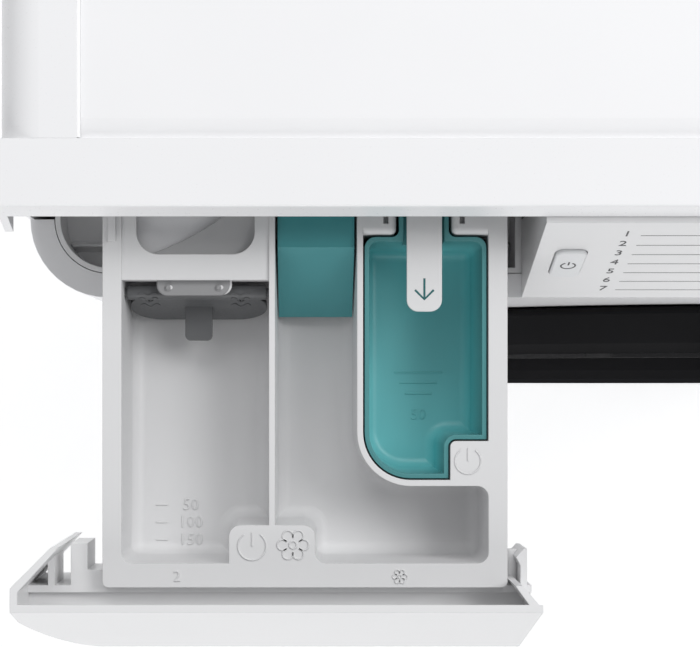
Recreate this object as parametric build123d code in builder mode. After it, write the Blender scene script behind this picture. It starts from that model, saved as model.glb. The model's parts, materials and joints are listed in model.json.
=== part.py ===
from build123d import *
import os

# Front load washing machine with its detergent drawer pulled open.
# Millimetres, +Z up, the front looks towards -Y, the floor is Z = 0.
os.makedirs("parts", exist_ok=True)

# Overall sizes
cabinet_width = 600.0
cabinet_height = 850.0
cabinet_depth = 545.0
corner_radius = 30.0
sheet = 1.5
seat_gap = 0.3
drawer_open = 134.0

# Heights
foot_height = 20.0
base_height = 40.0
kick_top = 112.0
control_band = 74.0
worktop_thickness = 18.0

# Worktop
worktop_border = 27.9
worktop_ledge = 8.0
board_thickness = 12.0
board_sunk = 1.2
edge_round = 15.0
trim_depth = 26.0
trim_height = 8.0
trim_drop = 12.0
trim_cheek = 3.0
trim_round = 1.0
trim_cheek_flat = 1.2
trim_set_back = 1.9
board_dip = (0.9, 7.0)

# Control panel
panel_lean = 22.0
panel_wall = 3.0
panel_from_tray = 11.0
panel_gap = 0.5
power_size = (11.0, 23.0)
power_from_edge = 13.0
knob_radius = 23.0
knob_height = 17.0
knob_x = 40.0
display_size = (86.0, 34.0)
display_x = 132.0
option_size = (11.0, 7.0)
option_pitch = 17.0
option_count = 2
start_radius = 9.0
start_x = 222.0
button_proud = 1.4
button_gap = 0.4

# Detergent drawer
tray_from_side = 33.7
tray_width = 143.3
tray_length = 215.0
tray_height = 44.0
tray_rim_below_panel_top = 16.0
tray_front_set_back = 28.6
tray_floor = 3.0
rim_side = 6.7
rim_front = 8.5
rim_rear = 10.0
divider = 2.1
wash_width = 52.2
softener_width = 29.1
chamber_front = 38.0
chamber_arc = 17.0
plateau_width = 30.4
plateau_depth = 13.5
corner_plate = (13.5, 13.8)
pocket_draft = 1.0
pocket_round = 5.0
bridge_front = 108.9
bridge_thickness = 4.0
bridge_lip = 10.0
bridge_window = (42.0, 47.0)
bridge_window_front = 118.0
window_round = 8.0
front_wall = 2.6

# Door
door_below_panel = 254.0
door_radius = 212.0
door_depth = 30.0
bowl_step = 20.0
door_bowl_depth = 92.0
door_glass = 5.0
door_lap = 52.0
flange_gap = 2.0
glass_lap = 8.0
clamp_width = 14.0
latch_size = (8.0, 16.0)
latch_room = 3.0

# Washing unit
tub_radius = 250.0
tub_wall = 4.0
tub_front_set_back = 62.0
tub_length = 330.0
drum_gap = 14.0
drum_wall = 1.5
drum_mouth_gap = 5.0
shaft_radius = 15.0
pulley_radius = 140.0
pulley_width = 18.0
belt_thickness = 4.0
motor_radius = 58.0
motor_length = 150.0
motor_x = 62.0
motor_height = 146.0
motor_pulley_radius = 14.0

# Places worked out from the sizes above
front_y = (drawer_open - cabinet_depth) / 2
back_y = front_y + cabinet_depth
middle_y = (front_y + back_y) / 2
half_width = cabinet_width / 2
panel_bottom = cabinet_height - control_band
tray_left = -half_width + tray_from_side
tray_right = tray_left + tray_width
panel_left = tray_right + panel_from_tray
door_axis_height = panel_bottom - door_below_panel
base_top = foot_height + base_height
worktop_bottom = cabinet_height - worktop_thickness
trim_front_y = front_y + panel_lean - trim_drop / 2
trim_back_y = front_y + panel_lean + trim_depth + trim_set_back
panel_top = cabinet_height - trim_height - panel_gap
panel_height = panel_top - panel_bottom
side_front_y = front_y + corner_radius
opening_radius = door_radius - door_lap
flange_radius = opening_radius - flange_gap
door_bowl_radius = flange_radius - bowl_step
ring_inner = flange_radius - glass_lap
drum_mouth_radius = opening_radius + drum_mouth_gap
clamp_outer = flange_radius + clamp_width
latch_x = clamp_outer + latch_size[0] / 2 + 2.0
trim_low = cabinet_height - trim_height - trim_drop
lean_plane = Plane(
    origin=(0, front_y, panel_bottom),
    x_dir=(1, 0, 0),
    z_dir=(0, -panel_height, panel_lean),
)


def finish(piece, name):
    """Label a piece and write its file."""
    piece.part.label = name
    export_step(piece.part, f"parts/{name}.step")


def front_plane(y, z=0.0, x=0.0):
    """A plane that faces the front at depth y, with its own x along +X and its own y upwards."""
    return Plane(origin=(x, y, z), x_dir=(1, 0, 0), z_dir=(0, -1, 0))


def rear_plane(y, z=0.0, x=0.0):
    """A plane that faces the back at depth y, with its own y upwards."""
    return Plane(origin=(x, y, z), x_dir=(-1, 0, 0), z_dir=(0, 1, 0))


def cabinet_plan(inset):
    """The cabinet's outline from above, drawn in by inset, with its front corners rounded."""
    with BuildSketch(mode=Mode.PRIVATE) as plan:
        with Locations((0, middle_y)):
            Rectangle(cabinet_width - 2 * inset, cabinet_depth - 2 * inset)
        fillet(plan.vertices().group_by(Axis.Y)[0], corner_radius - inset)
    return plan.sketch


def plan_strip(x_low, x_high, y_low, y_high):
    """A rectangle from above, given by its sides."""
    with BuildSketch(mode=Mode.PRIVATE) as strip:
        with Locations(((x_low + x_high) / 2, (y_low + y_high) / 2)):
            Rectangle(x_high - x_low, y_high - y_low)
    return strip.sketch


# Base tray, with a boss and a hole at each foot
foot_inset = 55.0
base_wall = 3.0
boss_radius = 16.0
stud_radius = 5.0
foot_spots = [
    (side * (half_width - foot_inset), y)
    for side in (-1, 1)
    for y in (front_y + foot_inset, back_y - foot_inset)
]
kick_inset = 2.0
base_inset = kick_inset + seat_gap
filter_size = (104.0, 62.0)
filter_x = 205.0
filter_z = 72.0
filter_room = 8.0
flap_ear = 6.0
with BuildPart() as base_tray:
    with BuildSketch(Plane.XY.offset(foot_height)):
        add(cabinet_plan(base_inset))
    extrude(amount=base_height)
    with BuildSketch(Plane.XY.offset(base_top)):
        add(cabinet_plan(base_inset + base_wall))
    extrude(amount=base_wall - base_height, mode=Mode.SUBTRACT)
    with BuildSketch(Plane.XY.offset(foot_height)):
        with Locations(*foot_spots):
            Circle(boss_radius)
    extrude(amount=base_height - 2 * base_wall)
    with BuildSketch(Plane.XY.offset(foot_height)):
        with Locations(*foot_spots):
            Circle(stud_radius + seat_gap)
    extrude(amount=base_height, mode=Mode.SUBTRACT)
    with BuildSketch(front_plane(front_y, filter_z, filter_x)):
        Rectangle(filter_size[0] + 2 * filter_room, filter_size[1] + 2 * flap_ear)
    extrude(amount=-2 * foot_inset / 3, mode=Mode.SUBTRACT)
finish(base_tray, "base_tray")

# Four levelling feet, each with its threaded stud and lock nut run up to the base
foot_radius = 21.0
foot_pad = 12.0
nut_height = 5.0
nut_radius = 10.0
foot_slope = 8.0

with BuildPart() as levelling_feet:
    with BuildSketch():
        with Locations(*foot_spots):
            Circle(foot_radius)
    extrude(amount=foot_pad, taper=foot_slope)
    with BuildSketch(Plane.XY.offset(foot_pad)):
        with Locations(*foot_spots):
            Circle(stud_radius)
    extrude(amount=foot_height - foot_pad + base_height - 2 * base_wall)
    with BuildSketch(Plane.XY.offset(foot_height - nut_height)):
        with Locations(*foot_spots):
            RegularPolygon(nut_radius, 6)
    extrude(amount=nut_height)
finish(levelling_feet, "levelling_feet")

# Side panels, each with a pressed field and a folded rear edge
rear_fold = 20.0
top_fold = 28.0
press_depth = 4.0
press_margin = 70.0
press_slope = 30.0
press_round = 40.0
side_height = worktop_bottom - foot_height
side_length = back_y - side_front_y
for side, name in ((-1, "side_panel_left"), (1, "side_panel_right")):
    outer = Plane(
        origin=(side * half_width, (side_front_y + back_y) / 2, foot_height + side_height / 2),
        x_dir=(0, side, 0),
        z_dir=(side, 0, 0),
    )
    with BuildPart() as side_panel:
        with BuildSketch(outer):
            Rectangle(side_length, side_height)
        extrude(amount=-sheet)
        with BuildSketch(outer):
            RectangleRounded(side_length - 2 * press_margin, side_height - 2 * press_margin, press_round)
        extrude(amount=-press_depth - sheet, taper=press_slope)
        with BuildSketch(outer):
            RectangleRounded(
                side_length - 2 * press_margin - 2 * sheet,
                side_height - 2 * press_margin - 2 * sheet,
                press_round - sheet,
            )
        extrude(amount=-press_depth, taper=press_slope, mode=Mode.SUBTRACT)
        with BuildSketch(Plane.XY.offset(foot_height)):
            fold_edge = side * half_width
            add(plan_strip(*sorted((fold_edge, fold_edge - side * rear_fold)), back_y - sheet, back_y))
        extrude(amount=side_height)
        with BuildSketch(Plane.XY.offset(trim_low)):
            add(plan_strip(-half_width, half_width, side_front_y, trim_back_y))
        extrude(amount=worktop_thickness, mode=Mode.SUBTRACT)
        with BuildSketch(Plane.XY.offset(worktop_bottom - sheet)):
            add(plan_strip(*sorted((fold_edge, fold_edge - side * top_fold)), trim_back_y, back_y))
        extrude(amount=sheet)
    finish(side_panel, name)

# Front panel, wrapped round both front corners, with a dished ring at the door opening
dish_radius = opening_radius + 34.0
dish_slope = 20.0
dish_depth = 10.0
front_bottom = kick_top + seat_gap
top_lip = 9.2
with BuildPart() as front_panel:
    with BuildSketch(Plane.XY.offset(front_bottom)):
        add(cabinet_plan(0))
        add(cabinet_plan(sheet), mode=Mode.SUBTRACT)
        add(plan_strip(-half_width, half_width, side_front_y, back_y), mode=Mode.SUBTRACT)
    extrude(amount=panel_bottom - front_bottom)
    with BuildSketch(Plane.XY.offset(panel_bottom)):
        add(cabinet_plan(0))
        add(cabinet_plan(top_lip), mode=Mode.SUBTRACT)
        add(plan_strip(-half_width, half_width, side_front_y, back_y), mode=Mode.SUBTRACT)
    extrude(amount=-sheet)
    with BuildSketch(front_plane(front_y, door_axis_height)):
        Circle(dish_radius)
    extrude(amount=-dish_depth - sheet)
    with BuildSketch(front_plane(front_y, door_axis_height)):
        Circle(dish_radius - sheet)
    extrude(amount=-dish_depth, taper=dish_slope, mode=Mode.SUBTRACT)
    with BuildSketch(front_plane(front_y, door_axis_height)):
        Circle(opening_radius)
    extrude(amount=-dish_depth - 2 * sheet, mode=Mode.SUBTRACT)
    with BuildSketch(front_plane(front_y, door_axis_height, latch_x)):
        Rectangle(latch_size[0] + 2 * latch_room, latch_size[1] + 2 * latch_room)
    extrude(amount=-dish_depth - 2 * sheet, mode=Mode.SUBTRACT)
finish(front_panel, "front_panel")

# Kick plate below the front panel, with the opening of the drain filter
flap_wall = 3.0
flap_edge_gap = 1.5
flap_pin_radius = 2.5
flap_face_y = front_y + kick_inset - sheet
flap_pivot_y = flap_face_y + flap_wall + flap_pin_radius - 1
flap_pivot_z = filter_z - filter_size[1] / 2 + flap_ear
with BuildPart() as kick_plate:
    with BuildSketch(Plane.XY.offset(foot_height)):
        add(cabinet_plan(kick_inset - sheet))
        add(cabinet_plan(kick_inset), mode=Mode.SUBTRACT)
        add(plan_strip(-half_width, half_width, side_front_y, back_y), mode=Mode.SUBTRACT)
    extrude(amount=kick_top - foot_height)
    with BuildSketch(front_plane(front_y, filter_z, filter_x)):
        RectangleRounded(*filter_size, 5)
    extrude(amount=-base_wall, mode=Mode.SUBTRACT)
    for side in (-1, 1):
        ear_x = filter_x + side * (filter_size[0] + flap_ear) / 2
        with BuildSketch(Plane.YZ.offset(ear_x - flap_ear / 2)):
            ear_front = flap_face_y + sheet / 2
            with Locations(((ear_front + flap_pivot_y + flap_ear) / 2, flap_pivot_z)):
                Rectangle(flap_pivot_y + flap_ear - ear_front, 2 * flap_ear)
            with Locations((flap_pivot_y, flap_pivot_z)):
                Circle(flap_pin_radius + seat_gap, mode=Mode.SUBTRACT)
        extrude(amount=flap_ear)
finish(kick_plate, "kick_plate")

# Hinged flap over the drain filter, with a finger notch and two pins low down
flap_width = filter_size[0] - 2 * flap_edge_gap
flap_notch = 9.0
with BuildPart() as filter_flap:
    with BuildSketch(front_plane(flap_face_y, filter_z, filter_x)):
        RectangleRounded(flap_width, filter_size[1] - 2 * flap_edge_gap, flap_wall)
        with Locations((0, filter_size[1] / 2)):
            Circle(flap_notch, mode=Mode.SUBTRACT)
    extrude(amount=-flap_wall)
    with BuildSketch(Plane.YZ.offset(filter_x - filter_size[0] / 2 - flap_ear)):
        with Locations((flap_pivot_y, flap_pivot_z)):
            Circle(flap_pin_radius)
    extrude(amount=filter_size[0] + 2 * flap_ear)
finish(filter_flap, "filter_flap")

# Worktop: a plastic frame, a board sunk in it, and a trim bar along the front
board_top = cabinet_height - board_sunk
board_bottom = board_top - board_thickness
board_side = half_width - worktop_border
board_back_y = back_y - worktop_border
with BuildPart() as worktop_frame:
    with BuildSketch(Plane.XY.offset(worktop_bottom)):
        add(plan_strip(-half_width, half_width, trim_back_y, back_y))
    extrude(amount=worktop_thickness)
    top_edges = worktop_frame.faces().sort_by(Axis.Z)[-1].edges()
    fillet(top_edges.sort_by(Axis.Y)[1:], edge_round)
    with BuildSketch(Plane.XY.offset(board_bottom)):
        add(plan_strip(-board_side, board_side, trim_back_y, board_back_y))
    extrude(amount=board_thickness + board_sunk, mode=Mode.SUBTRACT)
    with BuildSketch(Plane.XY.offset(worktop_bottom)):
        ledge_side = board_side - worktop_ledge
        add(plan_strip(-ledge_side, ledge_side, trim_back_y, board_back_y - worktop_ledge))
    extrude(amount=worktop_thickness, mode=Mode.SUBTRACT)
finish(worktop_frame, "worktop_frame")

with BuildPart() as worktop_board:
    with BuildSketch(Plane.XY.offset(board_bottom)):
        fit = board_side - seat_gap
        add(plan_strip(-fit, fit, trim_back_y, board_back_y - seat_gap))
    extrude(amount=board_thickness)
    front_edge = worktop_board.faces().sort_by(Axis.Z)[-1].edges().sort_by(Axis.Y)[0]
    chamfer(front_edge, board_dip[0], board_dip[1])
finish(worktop_board, "worktop_board")

with BuildPart() as worktop_trim:
    with BuildSketch(front_plane(trim_front_y, cabinet_height - trim_height)) as trim_face:
        with Locations((0, trim_height / 2)):
            Rectangle(cabinet_width, trim_height)
        for side in (-1, 1):
            with Locations((side * (half_width - trim_cheek / 2), (trim_height - trim_drop) / 2)):
                Rectangle(trim_cheek, trim_height + trim_drop)
        inner_corners = trim_face.vertices().filter_by(
            lambda v: abs(v.X) < half_width - 1 and abs(v.Z - cabinet_height + trim_height) < 0.1
        )
        fillet(inner_corners, trim_drop - trim_cheek_flat)
        top_corners = trim_face.vertices().filter_by(lambda v: abs(v.Z - cabinet_height) < 0.1)
        fillet(top_corners, edge_round)
    extrude(amount=trim_front_y - trim_back_y)
    split(bisect_by=lean_plane.offset(-trim_set_back), keep=Keep.BOTTOM)
    front_edges = worktop_trim.faces().sort_by(Axis.Y)[0].edges()
    fillet(front_edges.sort_by(Axis.Z)[-1], trim_round)
finish(worktop_trim, "worktop_trim")

# Control panel: a leaning shell open at the back, with a hole for each control
slope_length = (panel_height**2 + panel_lean**2) ** 0.5
control_line = slope_length / 2
option_line = 12.0
display_line = slope_length - display_size[1] / 2 - 9.0
power_x = panel_left + power_from_edge
option_spots = [
    (display_x + (i - (option_count - 1) / 2) * option_pitch, option_line) for i in range(option_count)
]
lens_rebate = 2.0
lens_ledge = 3.0
stud_post_radius = 4.0
board_behind = 10.0
post_left = panel_left + 40.0
post_right = 262.0
post_edge = 10.0
board_posts = [(x, line) for x in (post_left, post_right) for line in (post_edge, slope_length - post_edge)]
panel_right = half_width - trim_cheek - panel_gap
shaft_hole_radius = 4.0


def inside_lean(depth):
    """The leaning plane moved in by depth."""
    return lean_plane.offset(-depth)


with BuildPart() as panel_core:
    with BuildSketch(Plane.XY.offset(panel_bottom + panel_wall)):
        add(cabinet_plan(panel_wall))
        inner_left = panel_left + panel_gap + panel_wall
        add(plan_strip(inner_left, half_width, front_y, side_front_y), mode=Mode.INTERSECT)
    extrude(amount=panel_height - 2 * panel_wall)
    split(bisect_by=inside_lean(panel_wall), keep=Keep.BOTTOM)

with BuildPart() as control_panel:
    with BuildSketch(Plane.XY.offset(panel_bottom)):
        add(cabinet_plan(0))
        add(plan_strip(panel_left + panel_gap, half_width, front_y, side_front_y), mode=Mode.INTERSECT)
    extrude(amount=panel_height)
    split(bisect_by=lean_plane, keep=Keep.BOTTOM)
    add(panel_core.part, mode=Mode.SUBTRACT)
    with BuildSketch(Plane.XY.offset(trim_low - panel_gap)):
        add(plan_strip(panel_right, half_width, front_y, side_front_y))
    extrude(amount=trim_drop + panel_gap, mode=Mode.SUBTRACT)
    with BuildSketch(inside_lean(panel_wall)):
        with Locations(*board_posts):
            Circle(stud_post_radius)
    extrude(amount=-(board_behind - panel_wall - seat_gap))
    with BuildSketch(lean_plane):
        with Locations((power_x, control_line)):
            RectangleRounded(power_size[0] + 2 * button_gap, power_size[1] + 2 * button_gap, 3 + button_gap)
        with Locations(*option_spots):
            RectangleRounded(option_size[0] + 2 * button_gap, option_size[1] + 2 * button_gap, 2 + button_gap)
        with Locations((start_x, control_line)):
            Circle(start_radius + button_gap)
        with Locations((knob_x, control_line)):
            Circle(shaft_hole_radius + button_gap)
        with Locations((display_x, display_line)):
            RectangleRounded(display_size[0] - 2 * lens_ledge, display_size[1] - 2 * lens_ledge, 2)
    extrude(amount=-panel_wall - 1, mode=Mode.SUBTRACT)
    with BuildSketch(lean_plane):
        with Locations((display_x, display_line)):
            RectangleRounded(display_size[0], display_size[1], 4)
    extrude(amount=-lens_rebate, mode=Mode.SUBTRACT)
finish(control_panel, "control_panel")

# Display lens, set in its rebate
with BuildPart() as display_lens:
    with BuildSketch(inside_lean(lens_rebate)):
        with Locations((display_x, display_line)):
            RectangleRounded(display_size[0] - 2 * seat_gap, display_size[1] - 2 * seat_gap, 4 - seat_gap)
    extrude(amount=lens_rebate + 0.2)
finish(display_lens, "display_lens")

# Push buttons, each with a collar behind the panel
collar = 1.5
collar_thickness = 2.0
collar_face = panel_wall + seat_gap
button_round = 0.8
press_axis = Axis(lean_plane.origin, lean_plane.z_dir)


def round_rectangle(size, spot, radius, grow):
    """A rounded rectangle at a spot of the leaning plane, grown on every side."""
    with Locations(spot):
        RectangleRounded(size[0] + 2 * grow, size[1] + 2 * grow, radius + grow)


buttons = [("power_button", power_size, (power_x, control_line), 3.0)]
for number, spot in enumerate(option_spots, 1):
    buttons.append((f"option_button_{number}", option_size, spot, 2.0))
for name, size, spot, radius in buttons:
    with BuildPart() as button:
        with BuildSketch(inside_lean(collar_face)):
            round_rectangle(size, spot, radius, 0)
        extrude(amount=collar_face + button_proud)
        fillet(button.faces().sort_by(press_axis)[-1].edges(), button_round)
        with BuildSketch(inside_lean(collar_face)):
            round_rectangle(size, spot, radius, collar)
        extrude(amount=-collar_thickness)
    finish(button, name)

with BuildPart() as start_button:
    with BuildSketch(inside_lean(collar_face)):
        with Locations((start_x, control_line)):
            Circle(start_radius)
    extrude(amount=collar_face + button_proud)
    fillet(start_button.faces().sort_by(press_axis)[-1].edges(), button_round)
    with BuildSketch(inside_lean(collar_face)):
        with Locations((start_x, control_line)):
            Circle(start_radius + collar)
    extrude(amount=-collar_thickness)
finish(start_button, "start_button")

# Programme knob on its shaft, with grip flutes
knob_skirt = 3.0
flute_count = 24
flute_radius = 1.4
knob_edge = 0.8
knob_slope = 45.0
flute_out = 0.6
shaft_clear = 0.6
pointer = (1.8, 9.0)
with BuildPart() as program_knob:
    with BuildSketch(lean_plane.offset(seat_gap)):
        with Locations((knob_x, control_line)):
            Circle(knob_radius + 2)
    extrude(amount=knob_skirt)
    with BuildSketch(lean_plane.offset(seat_gap + knob_skirt)):
        with Locations((knob_x, control_line)):
            Circle(knob_radius)
            with PolarLocations(knob_radius + flute_out, flute_count):
                Circle(flute_radius, mode=Mode.SUBTRACT)
    extrude(amount=knob_height - knob_skirt - knob_edge)
    with BuildSketch(lean_plane.offset(seat_gap + knob_height - knob_edge)):
        with Locations((knob_x, control_line)):
            Circle(knob_radius - flute_radius)
    extrude(amount=knob_edge, taper=knob_slope)
    with BuildSketch(lean_plane.offset(seat_gap + knob_height)):
        with Locations((knob_x, control_line + knob_radius - pointer[1])):
            RectangleRounded(*pointer, pointer[0] / 2 - knob_edge / 10)
    extrude(amount=-knob_edge, mode=Mode.SUBTRACT)
    with BuildSketch(lean_plane.offset(seat_gap)):
        with Locations((knob_x, control_line)):
            Circle(shaft_hole_radius)
    extrude(amount=-(board_behind + seat_gap - shaft_clear))
finish(program_knob, "program_knob")

# Circuit board of the controls, on the panel's posts
board_left = panel_left + 26.0
board_right = 276.0
board_edge = 13.0
board_hole = 1.5
board_thick = 1.6

with BuildPart() as control_board:
    with BuildSketch(inside_lean(board_behind)):
        with Locations(((board_left + board_right) / 2, control_line)):
            Rectangle(board_right - board_left, slope_length - 2 * board_edge)
        with Locations(*board_posts):
            Circle(board_hole, mode=Mode.SUBTRACT)
    extrude(amount=-board_thick)
finish(control_board, "control_board")

# Detergent drawer: places shared by its pieces, at rest with the drawer out
tray_rim = panel_top - tray_rim_below_panel_top
tray_bottom = tray_rim - tray_height
tray_front_y = front_y + tray_front_set_back - drawer_open
wash_left = tray_left + rim_side
wash_right = wash_left + wash_width
softener_left = wash_right + divider
softener_right = softener_left + softener_width
chamber_left = softener_right + divider
chamber_right = tray_right - rim_side
chamber_back = 124.9
channel_back = 160.0
neck_width = 17.6
shoulder_round = 2.5
shoulder_slot = (1.8, 128.8, 148.0)
shoulder_slot_side = 13.5
shoulder_slot_depth = 4.0
rim_lug = (2.8, 12.0, 1.4)
rim_lug_front = 122.5
plateau_left = (wash_right + softener_left - plateau_width) / 2
plateau_right = plateau_left + plateau_width
floor_rise = 9.0
floor_z = tray_bottom + tray_floor
tab_width = 12.4
tab_front = 97.6
tab_thickness = 1.8
tab_lift = 0.4
tab_pivot = 174.0
tab_barrel_radius = 2.2
tab_slot_front = 158.0
tab_slot_back = 182.0
tab_slot_depth = 5.0
tab_x = chamber_left + 21.6
tab_pivot_y = tray_front_y + tab_pivot
tab_pivot_z = tray_rim - 1.0
insert_pivot_y = tray_front_y + 105.0
insert_pivot_z = tray_rim - 10.5
insert_pin_radius = 1.6
insert_pin_length = 3.0


def tray_strip(x_low, x_high, u_low, u_high):
    """A rectangle from above, with its depth measured back from the tray's front."""
    return plan_strip(x_low, x_high, tray_front_y + u_low, tray_front_y + u_high)


def near(points, reach=0.2):
    """A test that keeps the vertices close to any of the given tray points."""
    spots = [(x, tray_front_y + u) for x, u in points]
    return lambda v: any(abs(v.X - x) < reach and abs(v.Y - y) < reach for x, y in spots)


# Hollows of the drawer tray, each a drafted core with a sloping floor and a rounded foot
floor_plane = Plane(
    origin=(0, tray_front_y, floor_z + floor_rise),
    x_dir=(1, 0, 0),
    z_dir=(0, floor_rise, tray_length),
)
hollow_round = 4.0
with BuildPart() as wash_core:
    with BuildSketch(Plane.XY.offset(tray_rim)) as wash_face:
        add(tray_strip(wash_left, wash_right, rim_front, tray_length + rim_rear))
        add(tray_strip(plateau_left, wash_right, rim_front, rim_front + plateau_depth), mode=Mode.SUBTRACT)
        fillet(wash_face.vertices().filter_by(near([(wash_left, rim_front)])), hollow_round)
        wash_corner = [(plateau_left, rim_front + plateau_depth)]
        fillet(wash_face.vertices().filter_by(near(wash_corner)), hollow_round)
    extrude(amount=-tray_height, taper=pocket_draft)
    split(bisect_by=floor_plane, keep=Keep.TOP)
    fillet(wash_core.faces().sort_by(Axis.Z)[0].edges(), pocket_round)

with BuildPart() as softener_core:
    with BuildSketch(Plane.XY.offset(tray_rim)) as softener_face:
        shelf = chamber_front - divider
        add(tray_strip(softener_left, softener_right, rim_front, tray_length - rim_rear))
        add(tray_strip(softener_left, chamber_right, rim_front, shelf))
        plateau_back = rim_front + plateau_depth
        add(tray_strip(softener_left, plateau_right, rim_front, plateau_back), mode=Mode.SUBTRACT)
        fillet(softener_face.vertices().filter_by(near([(softener_right, shelf)])), chamber_arc + divider)
        fillet(softener_face.vertices().filter_by(near([(chamber_right, shelf)])), hollow_round)
        fillet(softener_face.vertices().filter_by(near([(chamber_right, rim_front)])), hollow_round)
        plateau_corner = [(plateau_right, rim_front + plateau_depth), (plateau_right, rim_front)]
        fillet(softener_face.vertices().filter_by(near(plateau_corner)), hollow_round)
    extrude(amount=-tray_height, taper=pocket_draft)
    split(bisect_by=floor_plane, keep=Keep.TOP)
    fillet(softener_core.faces().sort_by(Axis.Z)[0].edges(), pocket_round)

with BuildPart() as chamber_core:
    with BuildSketch(Plane.XY.offset(tray_rim)) as chamber_face:
        plate_left = chamber_right - corner_plate[0]
        plate_back = chamber_front + corner_plate[1]
        add(tray_strip(chamber_left, chamber_right, chamber_front, chamber_back))
        half_channel = neck_width / 2 + divider / 2
        add(tray_strip(tab_x - half_channel, tab_x + half_channel, chamber_back, channel_back))
        add(tray_strip(plate_left, chamber_right, chamber_front, plate_back), mode=Mode.SUBTRACT)
        fillet(chamber_face.vertices().filter_by(near([(chamber_left, chamber_front)])), chamber_arc)
        fillet(chamber_face.vertices().filter_by(near([(plate_left, plate_back)])), hollow_round / 2)
        shoulder_corners = [(tab_x - half_channel, chamber_back), (tab_x + half_channel, chamber_back)]
        fillet(chamber_face.vertices().filter_by(near(shoulder_corners)), hollow_round / 2)
    extrude(amount=floor_z - tray_rim, taper=pocket_draft)

# Drawer tray: three hollows, a bridge over the rear of the wash hollow, and a slot for the tab
window_middle = (wash_left + wash_right) / 2
clip_shelf = (25.6, 5.0, 2.0)
clip_round = 3.5
clip_stud_radius = 1.0
clip_stud_side = 9.0
stud_slope = 20.0
tray_corner = 2.0

with BuildPart() as drawer_tray:
    with BuildSketch(Plane.XY.offset(tray_bottom)) as tray_plan:
        add(tray_strip(tray_left, tray_right, 0, tray_length))
        fillet(tray_plan.vertices(), tray_corner)
    extrude(amount=tray_height)
    add(wash_core.part, mode=Mode.SUBTRACT)
    add(softener_core.part, mode=Mode.SUBTRACT)
    add(chamber_core.part, mode=Mode.SUBTRACT)
    shoulder_y = tray_front_y + chamber_back
    shoulder_edges = drawer_tray.edges().filter_by(
        lambda e: abs(e.center().Z - tray_rim) < 0.1 and abs(e.center().Y - shoulder_y) < 0.1
    )
    fillet(shoulder_edges, shoulder_round)
    with BuildSketch(Plane.XY.offset(tray_rim)):
        for side in (-1, 1):
            slot_x = tab_x + side * shoulder_slot_side
            add(tray_strip(slot_x - shoulder_slot[0] / 2, slot_x + shoulder_slot[0] / 2, *shoulder_slot[1:]))
    extrude(amount=-shoulder_slot_depth, mode=Mode.SUBTRACT)
    with BuildSketch(Plane.XY.offset(tray_rim)):
        lug_left = tray_left + (rim_side - rim_lug[0]) / 2
        add(tray_strip(lug_left, lug_left + rim_lug[0], rim_lug_front, rim_lug_front + rim_lug[1]))
    extrude(amount=rim_lug[2])
    with BuildSketch(Plane.XY.offset(tray_rim - 1)):
        add(tray_strip(wash_left - 1, wash_right + 1, bridge_front, tray_length))
    extrude(amount=-bridge_thickness)
    with BuildSketch(Plane.XY.offset(tray_rim - 1)):
        add(tray_strip(wash_left - 1, wash_right + 1, bridge_front, bridge_front + bridge_thickness))
    extrude(amount=-bridge_lip)
    with BuildSketch(Plane.XY.offset(tray_rim - bridge_thickness)) as clip_plan:
        half_clip = clip_shelf[0] / 2
        clip_front = bridge_front - clip_shelf[1]
        add(tray_strip(window_middle - half_clip, window_middle + half_clip, clip_front, bridge_front))
        fillet(clip_plan.vertices().group_by(Axis.Y)[0], clip_round)
    extrude(amount=-clip_shelf[2])
    with BuildSketch(Plane.XY.offset(tray_rim - bridge_thickness)):
        for side in (-1, 1):
            stud_y = tray_front_y + (clip_front + bridge_front) / 2
            with Locations((window_middle + side * clip_stud_side, stud_y)):
                Circle(clip_stud_radius)
    extrude(amount=clip_stud_radius, taper=stud_slope)
    with BuildSketch(Plane.XY.offset(tray_rim)):
        with Locations((window_middle, tray_front_y + bridge_window_front + bridge_window[1] / 2)):
            RectangleRounded(*bridge_window, window_round)
    extrude(amount=-2 * bridge_thickness, mode=Mode.SUBTRACT)
    with BuildSketch(Plane.XY.offset(tray_rim)):
        half_slot = tab_width / 2 + panel_gap
        add(tray_strip(tab_x - half_slot, tab_x + half_slot, tab_slot_front, tab_slot_back))
    extrude(amount=-tab_slot_depth, mode=Mode.SUBTRACT)
    with BuildSketch(Plane.YZ.offset(tab_x - half_slot - insert_pin_length)):
        with Locations((tab_pivot_y, tab_pivot_z)):
            Circle(tab_barrel_radius + seat_gap)
    extrude(amount=2 * (half_slot + insert_pin_length), mode=Mode.SUBTRACT)
    with BuildSketch(Plane.YZ.offset(wash_left - insert_pin_length)):
        with Locations((insert_pivot_y, insert_pivot_z)):
            Circle(insert_pin_radius + seat_gap)
    extrude(amount=wash_width + insert_pin_length + divider / 2, mode=Mode.SUBTRACT)
finish(drawer_tray, "drawer_tray")

# Drawer front: a leaning skin that wraps the cabinet's corner, with cheeks, a back wall and clips
drawer_face_y = front_y - drawer_open
front_low = panel_bottom + panel_gap
front_high = panel_top - 1.0
front_left = -half_width + trim_cheek + panel_gap
front_right = panel_left - panel_gap
cheek_right = front_right - 1.0
cheek_depth = 44.0
cheek_slant = 14.0
back_wall_top = tray_rim - 7.0
shelf_top = back_wall_top - 3.0
right_cheek = (24.0, 31.0, 6.0)
hook_wall = 2.4
hook_length = 13.0
hook_head = 3.0
left_hook_inset = 11.0
right_hook_inset = 3.8
plates = ((18.0, 24.0, 15.0), (24.0, 29.9, 5.5))
boss_radius_front = 2.4
boss_length = 12.0
boss_inset = 7.2
boss_bore = 1.0
drawer_lean = Plane(
    origin=(0, drawer_face_y, panel_bottom),
    x_dir=(1, 0, 0),
    z_dir=(0, -panel_height, panel_lean),
)
skin_depth = front_wall * slope_length / panel_height
boss_z = back_wall_top - tray_height / 4
moved_out = Location((0, -drawer_open, 0))


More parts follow.
